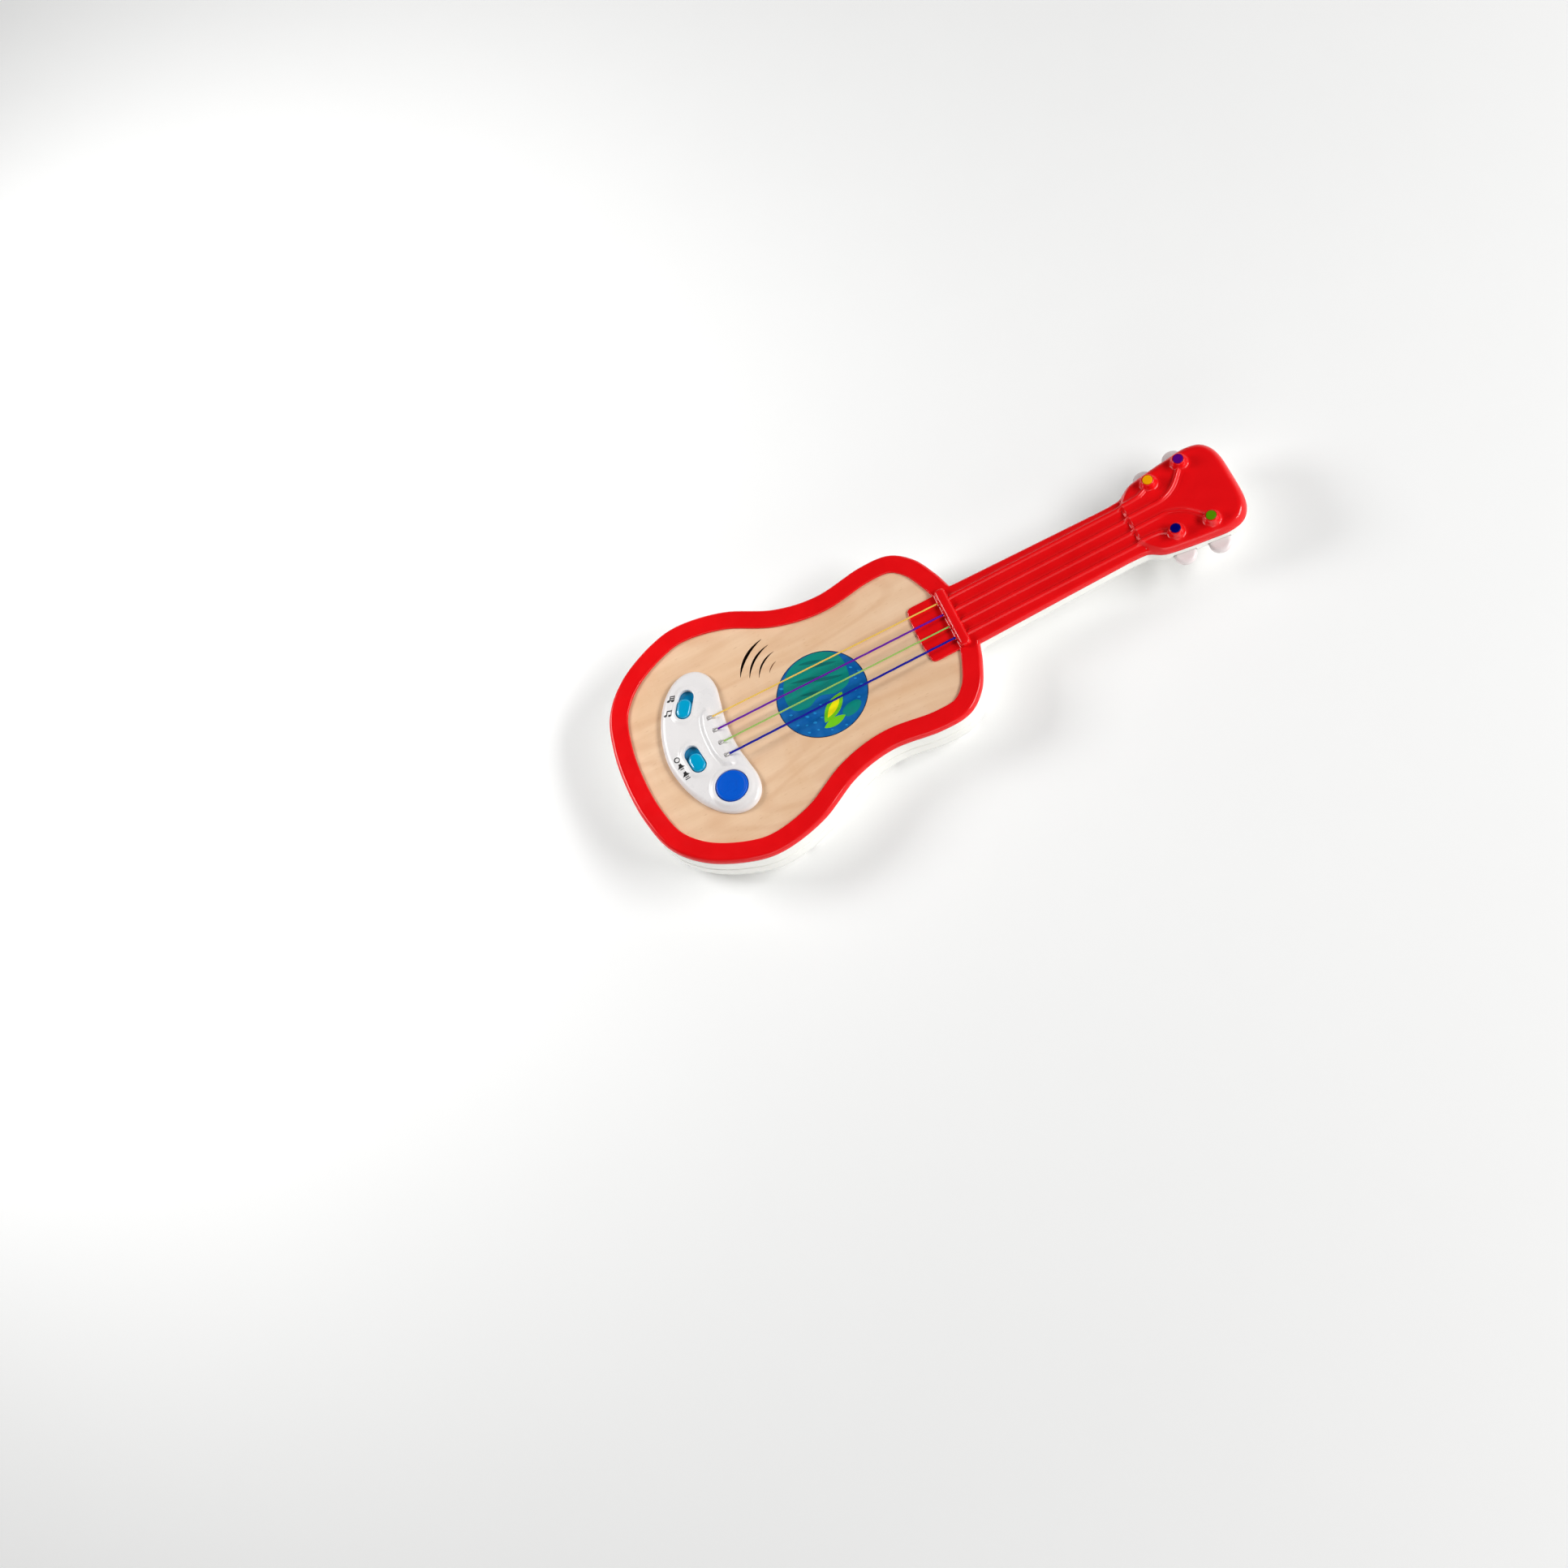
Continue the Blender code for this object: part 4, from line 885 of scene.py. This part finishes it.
def disc_print():
    """A round print of an abstract pond with weed, leaves and drops."""
    teal = [placed(closed_curve(knots, steps), DISC_CENTRE) for knots, steps in (
        ([(-27, 8), (-20, 18.5), (-9, 20.5), (1, 17.5), (3.5, 8), (0.5, -2), (4, -11), (1, -20),
          (-9, -21.5), (-20, -17), (-27, -7)], 10),
        ([(17, 19), (21, 14.5), (21.5, 8), (17.5, 6), (14, 11), (14, 17)], 8))]
    leaves = [placed(leaf(22, 9), (15.5, -71), 128), placed(leaf(15, 5.5), (24.5, -74), 96)]
    drops = []
    for number in range(DROPS):
        reach = DISC_R * sqrt((number + 0.5) / DROPS)
        angle = number * GOLDEN_ANGLE
        spot = Vector(DISC_CENTRE) + Vector((cos(angle), sin(angle))) * reach
        clear = all(depth_in(np.array([spot]), loop)[0] < -1.3 for loop in teal + leaves)
        if clear and reach < DISC_R - 1.8:
            drops.append(placed(drop(), spot, 62 + 10 * sin(number), 0.95 + 0.15 * (number % 4)))
    weed = [placed(leaf(long, 2.2), (x, y), 74) for x, y, long in
            ((-19, -72, 15), (-14, -66, 19), (-9, -77, 24), (-4, -67, 20), (0.5, -79, 15))]
    for number, (name, loops) in enumerate((
            ("outline", [circle(DISC_CENTRE, DISC_R, 160)]),
            ("blue", [circle(DISC_CENTRE, DISC_R - 0.5, 160)]),
            ("teal", teal), ("deep", weed), ("lime", leaves),
            ("yellow", [placed(leaf(15, 4.6), (15.5, -71), 128)]), ("sky", drops)), 1):
        piece(f"print_{name}", print_loops(loops, flat(BOARD_TOP), 0.02 * number), "face_wood",
              look=INKS[name])


def leaf(long, wide):
    """A pointed leaf along +X, centred on the origin."""
    side = [(long * (t - 0.5), wide * sin(pi * t) ** 0.8 / 2)
            for t in (i / 20 for i in range(21))]
    return side[::-1] + [(x, -y) for x, y in side[1:-1]]


def drop(long=1.9, wide=1.0):
    return closed_curve([(long / 2, 0), (0.2, wide / 2), (-long / 2, 0), (0.2, -wide / 2)], 5)


# ---- control panel
COLLAR_HIGH = 1.0
RIDGE_SLOPE = (-1.7, 2.7)  # from outside its outline to inside
PANEL_ROUND, PANEL_DROP = 4.6, 3.6
COLLAR_WIDTHS = (3.3, 3.0, 3.0)  # round the button and the two slots
RIDGE_TOP = box("control_panel")[1].z
PANEL_HOLES = [circle(BUTTON, BUTTON_R + 0.4, 96),
               *(capsule(centre, SLOT_HALF, SLOT_R, turn) for centre, turn in SLOTS.values())]
NOTCHES = [rectangle((x - 1.3, -142.6), (x + 1.3, -137.6)) for x in
           (middle(f"string_ferrule_{number}").x for number in range(1, 5))]


def panel_top(spots):
    collars = []
    for loop, wide in zip(PANEL_HOLES, COLLAR_WIDTHS):
        away = distance_to(spots, loop)
        collars.append(COLLAR_HIGH * (1 - step_up(away, wide - 1.9, wide + 1.1))
                       - round_over(away, 0.7, 0.5))
    ridge_in = depth_in(spots, RIDGE)
    ridge = (RIDGE_TOP - PANEL_TOP) * step_up(ridge_in, *RIDGE_SLOPE)
    notch_in = np.max([depth_in(spots, notch) for notch in NOTCHES], axis=0)
    ridge = mix(ridge, 0.1, step_up(notch_in, -0.3, 0.25))
    crown = 0.35 * step_up(distance_to(spots, PANEL), 3, 18)
    return (PANEL_TOP - 0.2 + crown - round_over(distance_to(spots, PANEL), PANEL_ROUND, PANEL_DROP)
            + blended(*collars, ridge))


def panel_under(spots):
    return np.where(distance_to(spots, PANEL) < 2.6, PANEL_LOW, PANEL_CEILING)


def panel_skin():
    guides = [inset(PANEL, depth) for depth in (*round_steps(PANEL_ROUND, 10), 2.55, 2.65)]
    for loop, wide in zip(PANEL_HOLES, COLLAR_WIDTHS):
        guides += [inset(loop, -depth) for depth in
                   (0.1, 0.25, 0.45, 0.7, 1.0, *np.linspace(wide - 1.9, wide + 1.1, 9), wide + 1.4)]
    guides += [inset(RIDGE, depth) for depth in (-2.0, *np.linspace(*RIDGE_SLOPE, 12), 3.0)]
    for notch in NOTCHES:
        guides += [even_loop(inset(notch, depth), 0.6) for depth in (-0.3, -0.15, -0.02, 0.12, 0.25)]
    lines = [across(47, y, 2.5) for y in np.arange(-175, -130, 2.5)]
    made = shell(*plan(PANEL, PANEL_HOLES, guides, lines), panel_top, panel_under)
    piece("panel_skin", made, "panel_white", nodes=["control_panel"])


def note_pair(beams):
    """Two joined notes under one or more beams."""
    loops = [rectangle((-1.3, -1.6), (-0.8, 1.7)), rectangle((1.3, -1.2), (1.8, 2.2))]
    loops += [[(-1.3, 1.0 - drop), (1.8, 1.5 - drop), (1.8, 2.2 - drop), (-1.3, 1.7 - drop)]
              for drop in (1.15 * i for i in range(beams))]
    for x, y in ((-1.75, -1.6), (0.85, -1.2)):
        head = [(0.98 * u, 0.7 * v) for u, v in circle((0, 0), 1, 20)]
        loops.append(placed(head, (x, y), 20))
    return loops


def loudspeaker(bars):
    loops = [[(-1.5, -0.75), (-0.6, -0.75), (0.75, -1.85), (0.75, 1.85), (-0.6, 0.75), (-1.5, 0.75)]]
    return loops + [rectangle((1.2 + 0.95 * i, -0.95 - 0.3 * i), (1.68 + 0.95 * i, 0.95 + 0.3 * i))
                    for i in range(bars)]


def panel_icons():
    """Black signs for the two sliders: play modes, off, quiet and loud."""
    off = (0.9, -170.2)
    signs = [(name, [even_loop(placed(loop, centre, angle, size), 0.8) for loop in loops], ())
             for name, loops, centre, angle, size in (
                 ("chords", note_pair(3), (-38.2, -157.3), 58, 1.08),
                 ("notes", note_pair(1), (-30.2, -162.8), 58, 1.08),
                 ("quiet", loudspeaker(1), (6.0, -169.7), 4, 1.3),
                 ("loud", loudspeaker(2), (12.2, -168.9), 4, 1.3))]
    signs.append(("off", [circle(off, 1.95, 40)], [circle(off, 1.25, 40)]))
    for name, loops, holes in signs:
        piece(f"icon_{name}", print_loops(loops, panel_top, 0.03, 0.004, holes), "black_part",
              look=INKS["black"])


def sliders():
    edge = [(0.0, 33.2), (0.0, 35.6), (0.08, 36.2), (0.3, 36.75), (0.7, 37.15), (1.3, 37.42),
            (2.1, 37.56), (3.1, box("mode_slider")[1].z)]
    rim = [(0.4, 31.9), (0.0, 32.2), (0.0, 33.1), (0.15, 33.3), (0.5, 33.4)]
    for name, (centre, turn) in SLOTS.items():
        node = f"{name}_slider"
        angle = radians(turn)
        spot = Vector(centre) + Vector((cos(angle), sin(angle))) * SLIDER_TRAVEL / 2
        knob = skin([level(capsule(spot, 6.4 - less, 4.5 - less, turn), z) for less, z in edge])
        piece(f"{node}_knob", knob, "slider_cyan", node, [node])
        skirt = skin([level(capsule(spot, 13.0 - less, 6.2 - less, turn), z) for less, z in rim])
        skin([level(capsule(spot, 2.0, 1.3, turn, 8), z) for z in (box(node)[0].z, 32)], bm=skirt)
        # The skirt takes the darker cyan: painted shade for the well.
        piece(f"{node}_skirt", skirt, "slider_cyan", node, look=LOOKS["skirt"])


def song_button():
    """A button with a rounded lip and a faint raised pair of notes."""
    low, high = box("song_button")
    face = [(BUTTON_R, 36.0), (9.85, 36.45), (9.5, 36.8), (9.0, 36.97), (8.5, 36.94), (8.1, 36.78),
            (7.6, 36.8), (5.0, 36.93), (0, high.z - 0.1)]
    side = [(0, low.z), (2.2, low.z), (2.2, 32.1), (11.8, 32.1), (11.8, 33.3), (BUTTON_R, 33.4)]
    piece("button_cap", turned(side + face, (*BUTTON, 0), 96), "button_blue", "song_button",
          ["song_button"])

    def surface(spots):
        return np.interp(np.hypot(*(spots - BUTTON).T), *zip(*face[::-1]))

    notes = [even_loop(placed(loop, BUTTON, 58, 2.1), 0.8) for loop in note_pair(1)]
    piece("button_relief", print_loops(notes, surface, 0.07, 0.004), "button_blue", "song_button")


def rubber_dome():
    """The rubber dome under the button."""
    low, high = box("button_dome")
    outer = [(4.7, low.z), (4.7, 22.8), (3.0, 24.4), (2.6, high.z), (0, high.z)]
    inner = [(0, 25.2), (1.8, 25.2), (2.2, 24.2), (3.9, 22.6), (3.9, low.z)]
    made = piece("dome_rubber", turned(rounded(inner + outer, 0.35, 3), (*BUTTON, 0), 40),
                 "clear_rubber", nodes=["button_dome"])
    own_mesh(made)


# ---- bar, strings and pegs
def string_bar():
    """Round-topped bar with a small collar round each string."""
    low, high = box("string_bar")
    front, back = low.y, high.y
    outline = rounded(
        [(front, low.z), (front, 34.6), (front + 0.5, 36.4), (front + 2.2, high.z),
        (back - 2.6, high.z), (back - 0.8, 36.3), (back, 34.4), (back, low.z)], 1.2, 6)
    rings = []
    for turn in range(0, 91, 10):
        depth = 2.6 * (1 - cos(radians(turn)))
        shrink = 0.45 + 0.55 * sin(radians(turn))
        rings.append([(depth - high.x, 17.5 + (y - 17.5) * shrink, low.z + (z - low.z) * shrink)
                      for y, z in outline])
    rings += [[(-x, y, z) for x, y, z in ring] for ring in rings[::-1]]
    made = piece("bar_skin", skin(rings), "shell_red", nodes=["string_bar"])
    holes, collars = bmesh.new(), bmesh.new()
    profile = [(0.8, 0), (1.9, 0), (1.9, 0.35), (1.7, 0.6), (1.3, 0.7), (0.95, 0.6), (0.8, 0.3)]
    for x in BAR_STRING_X:
        turned([(0, -4), (0.95, -4), (0.95, 2), (0, 2)], (x, 16.0, STRING_Z), 24, DOWN_Y, holes)
        rings = [[(u, front + 0.2 - z, v) for u, v in circle((x, STRING_Z), r, 28)]
                 for r, z in profile]
        skin(rings, True, collars)
    cut(made, holes)
    piece("bar_collars", collars, "shell_red")


def wound_string(name, number):
    """Three strands twisted into a cord, between the bar and the bridge."""
    low, high = box(f"string_{name}")
    radius = {"yellow": 0.5, "purple": 0.62, "green": 0.52, "blue": 0.7}[name]
    ferrule = middle(f"string_ferrule_{number}")
    start = Vector((ferrule.x, low.y, ferrule.z))
    run = Vector((BAR_STRING_X[number - 1], high.y, STRING_Z)) - start
    side = run.normalized().cross(Vector((0, 0, 1))).normalized()
    up = side.cross(run.normalized())
    count = 360
    rings = []
    for i in range(count + 1):
        twist = tau * i / 24
        ring = []
        for k in range(15):
            angle = tau * k / 15
            reach = radius * (0.95 + 0.05 * cos(3 * (angle - twist / 3)))
            ring.append(start + run * (i / count) + reach * (side * cos(angle) + up * sin(angle)))
        rings.append(ring)
    piece(f"cord_{name}", skin(rings), f"string_{name}", nodes=[f"string_{name}"], sharp=60)


def ferrule(number):
    """Metal sleeve that holds a string's end."""
    low, high = box(f"string_ferrule_{number}")
    spot = (low + high) / 2
    long = high.y - low.y
    profile = rounded(
        [(0, 0), (0.6, 0), (0.7, 0.5), (0.95, 1.3), (0.95, long), (0.6, long), (0.5, long - 0.4),
        (0, long - 0.4)], 0.15)
    piece(f"sleeve_{number}", turned(profile, (spot.x, high.y, spot.z), 28, DOWN_Y), "steel",
          nodes=[f"string_ferrule_{number}"], look=LOOKS["sleeve"])


def peg_dot(name):
    low, high = box(f"peg_dot_{name}")
    profile = rounded(
        [(0, low.z), (3.1, low.z), (3.1, high.z - 0.05), (1.5, high.z), (0, high.z)], 0.3)
    piece(f"peg_cap_{name}", turned(profile, (*PEGS[name], 0), 56), f"dot_{name}",
          nodes=[f"peg_dot_{name}"])


def tuning_knob(number):
    low, high = box(f"tuning_knob_{number}")
    radius = (high.x - low.x) / 2
    profile = rounded(
        [(0, low.z), (radius - 1.5, low.z + 0.1), (radius, low.z + 0.8), (radius, high.z - 0.9),
        (radius - 1.5, high.z - 0.1), (0, high.z)], 1.1, 6)
    piece(f"knob_{number}", turned(profile, (*(low + high).xy / 2, 0), 72), "knob_white",
          nodes=[f"tuning_knob_{number}"])


# ---- back and fastenings
def screw_piece(node, body="root"):
    """A cross-head screw: head below, thread above."""
    low, high = box(node)
    spot = (low + high).xy / 2
    head_r = (high.x - low.x) / 2
    shank = head_r * 0.52
    thread = []
    z = low.z + 1.9
    while z < high.z - 1.2:
        thread += [(shank, z + 0.2), (shank * 0.82, z + 0.5)]
        z += 0.8
    profile = rounded(
        [(0, low.z), (head_r - 0.9, low.z + 0.1), (head_r, low.z + 1.0), (head_r, low.z + 1.9),
        (shank, low.z + 1.95)], 0.4) + thread
    screw = turned(profile + [(0.3, high.z - 0.2), (0, high.z)], (*spot, 0), 32)
    arm, wide = head_r * 0.55, head_r * 0.16
    cross = [(arm, -wide), (arm, wide), (wide, wide), (wide, arm), (-wide, arm), (-wide, wide),
             (-arm, wide), (-arm, -wide), (-wide, -wide), (-wide, -arm), (wide, -arm), (wide, -wide)]
    cut(piece(f"fixing_{node}", screw, "steel", body, [node]),
        skin([level(placed(cross, spot, 20, size), height)
              for size, height in ((1.0, low.z - 0.5), (0.75, low.z + 1.1))]))


def softened(node, name, slot, body, width):
    """A finer copy of a CAD node, with its edges rounded."""
    bm = bmesh.new()
    bm.from_mesh(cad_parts[node].data)
    bmesh.ops.remove_doubles(bm, verts=bm.verts, dist=1e-6)
    bmesh.ops.scale(bm, vec=(1 / MM,) * 3, verts=bm.verts)
    made = piece(name, bm, slot, body, [node])
    bevel = made.modifiers.new("edges", "BEVEL")
    bevel.width = width * MM
    bevel.segments = 3
    bevel.limit_method = "ANGLE"
    bevel.angle_limit = radians(40)
    apply_modifiers(made)


def battery_cell(number, look):
    """A round cell with bare ends and a contact cap at its tip."""
    low, high = box(f"battery_cell_{number}")
    centre = (low + high) / 2
    radius = (high.x - low.x) / 2
    half = (high.y - low.y) / 2
    tip = 1 if number % 2 else -1
    profile = rounded(
        [(0, -half), (radius - 0.5, -half), (radius, -half + 0.8), (radius, half - 2.0),
        (radius - 0.5, half - 1.2), (2.0, half - 1.15), (1.9, half), (0, half)], 0.4, 4)
    bm = turned(profile, centre, 56, Matrix.Rotation(radians(-90 * tip), 3, "X"))
    made = piece(f"cell_{number}", bm, "cell_wrap", nodes=[f"battery_cell_{number}"], look=look)
    made.data.materials.append(LOOKS["steel"])
    for face in made.data.polygons:
        past_rim = abs(face.center.y / MM - centre.y) > half - 1.25
        face.material_index = int(past_rim or abs(face.normal.y) > 0.6)


def repaint_frame():
    """Every CAD node that still shows takes its slot's finish."""
    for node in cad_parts.values():
        slot = node.data.materials[0].name.split(".")[0]
        node.data.materials[0] = LOOKS[slot]
        shaded(node.data)


# ---- stage
FLOOR_REACH = 3000.0
FLOOR_Z = -0.05  # just under the back, so that the two never share a surface
LENS = 67.465
CAMERA_PLACE = (0.81896, -0.02376, 1.61207)  # metres
CAMERA_TURN = (22.3242, 14.1210, 66.2483)  # degrees
# Each lamp: its name, where it stands as seen from the toy, distance, size (metres) and watts
LAMPS = [("main", (0.34, 0.72, 0.58), 2.6, (1.88, 0.58), 60.0),
         ("near_left", (-0.44, -0.68, 0.52), 0.9, (0.4, 0.3), 5.0),
         ("side", (0.9, -0.25, 0.3), 2.2, (1.4, 0.7), 5.0)]
SKY_BY_HEIGHT = (1.0, 0.02, 0.1, 0.72)  # bright at the horizon and dim above the second height
SKY_BY_SIDE = (0.12, 1.0, -0.8, 0.2)  # dim behind the near left and bright towards the lamp
BRIGHT_SIDE = (0.6, 0.8, 0.0)


def shown(name, data):
    made = bpy.data.objects.new(name, data)
    SCENE.collection.objects.link(made)
    return made


def ground():
    bm = bmesh.new()
    centre = (Vector(cad_bounds[0]) + Vector(cad_bounds[1])).xy
    bm.faces.new([bm.verts.new((x, y, FLOOR_Z)) for x, y in circle(centre, FLOOR_REACH, 64)])
    floor = new_object("floor", bm)
    look = Finish("studio_floor", Emission_Color=(1, 1, 1, 1), Emission_Strength=0.12)
    floor.data.materials.append(look.feed(
        Base_Color=look.blend(look.noise(3), (240, 240, 239), (236, 236, 235)),
        Roughness=look.spread(look.noise(40), 0.7, 0.8)))


def camera():
    view = bpy.data.cameras.new("camera")
    view.sensor_width = 36.0
    view.lens = LENS
    view.clip_end = 20.0
    made = shown("camera", view)
    made.location = CAMERA_PLACE
    made.rotation_euler = [radians(angle) for angle in CAMERA_TURN]
    SCENE.camera = made


def lamps():
    for name, towards, distance, size, watts in LAMPS:
        lamp = bpy.data.lights.new(name, "AREA")
        lamp.shape = "RECTANGLE"
        lamp.size, lamp.size_y = size
        lamp.energy = watts
        made = shown(name, lamp)
        away = Vector(towards).normalized()
        made.location = away * distance
        made.rotation_euler = away.to_track_quat("Z", "Y").to_euler()


def sky():
    """Soft white light, most of it from the main lamp's side."""
    world = bpy.data.worlds.new("studio")
    world.use_nodes = True
    nodes = Nodes(world.node_tree)
    way = nodes.node("TexCoord", "Generated")
    height = nodes.node("SeparateXYZ", "Z", i0=way)
    side = nodes.node(
        "VectorMath", "Value", {"operation": "DOT_PRODUCT"}, i0=way, i1=BRIGHT_SIDE)
    strength = nodes.maths(
        "MULTIPLY", nodes.spread(height, *SKY_BY_HEIGHT, "SMOOTHSTEP"),
        nodes.spread(side, *SKY_BY_SIDE, "SMOOTHSTEP"))
    background = nodes.tree.nodes["Background"]
    nodes.tree.links.new(strength, background.inputs["Strength"])
    background.inputs["Color"].default_value = (1, 1, 1, 1)
    SCENE.world = world
    SCENE.view_settings.view_transform = "Standard"


# ---- assembly
repaint_frame()
front_skin()
back_skin()
soundboard()
disc_print()
panel_skin()
panel_icons()
sliders()
song_button()
rubber_dome()
string_bar()
for place, colour in enumerate(STRINGS, 1):
    wound_string(colour, place)
    ferrule(place)
    peg_dot(colour)
    tuning_knob(place)
for screw_node in [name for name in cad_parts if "screw" in name]:
    screw_piece(screw_node, "battery_door" if screw_node == "door_screw" else "root")
softened("battery_door", "battery_cover", "shell_white", "battery_door", 0.35)
softened("battery_box", "battery_cup", "shell_white", "root", 0.3)
for place, wrap in enumerate((LOOKS["cell_wrap"], cell_wrap(-1), LOOKS["cell_wrap"]), 1):
    battery_cell(place, wrap)
ground()
camera()
lamps()
sky()
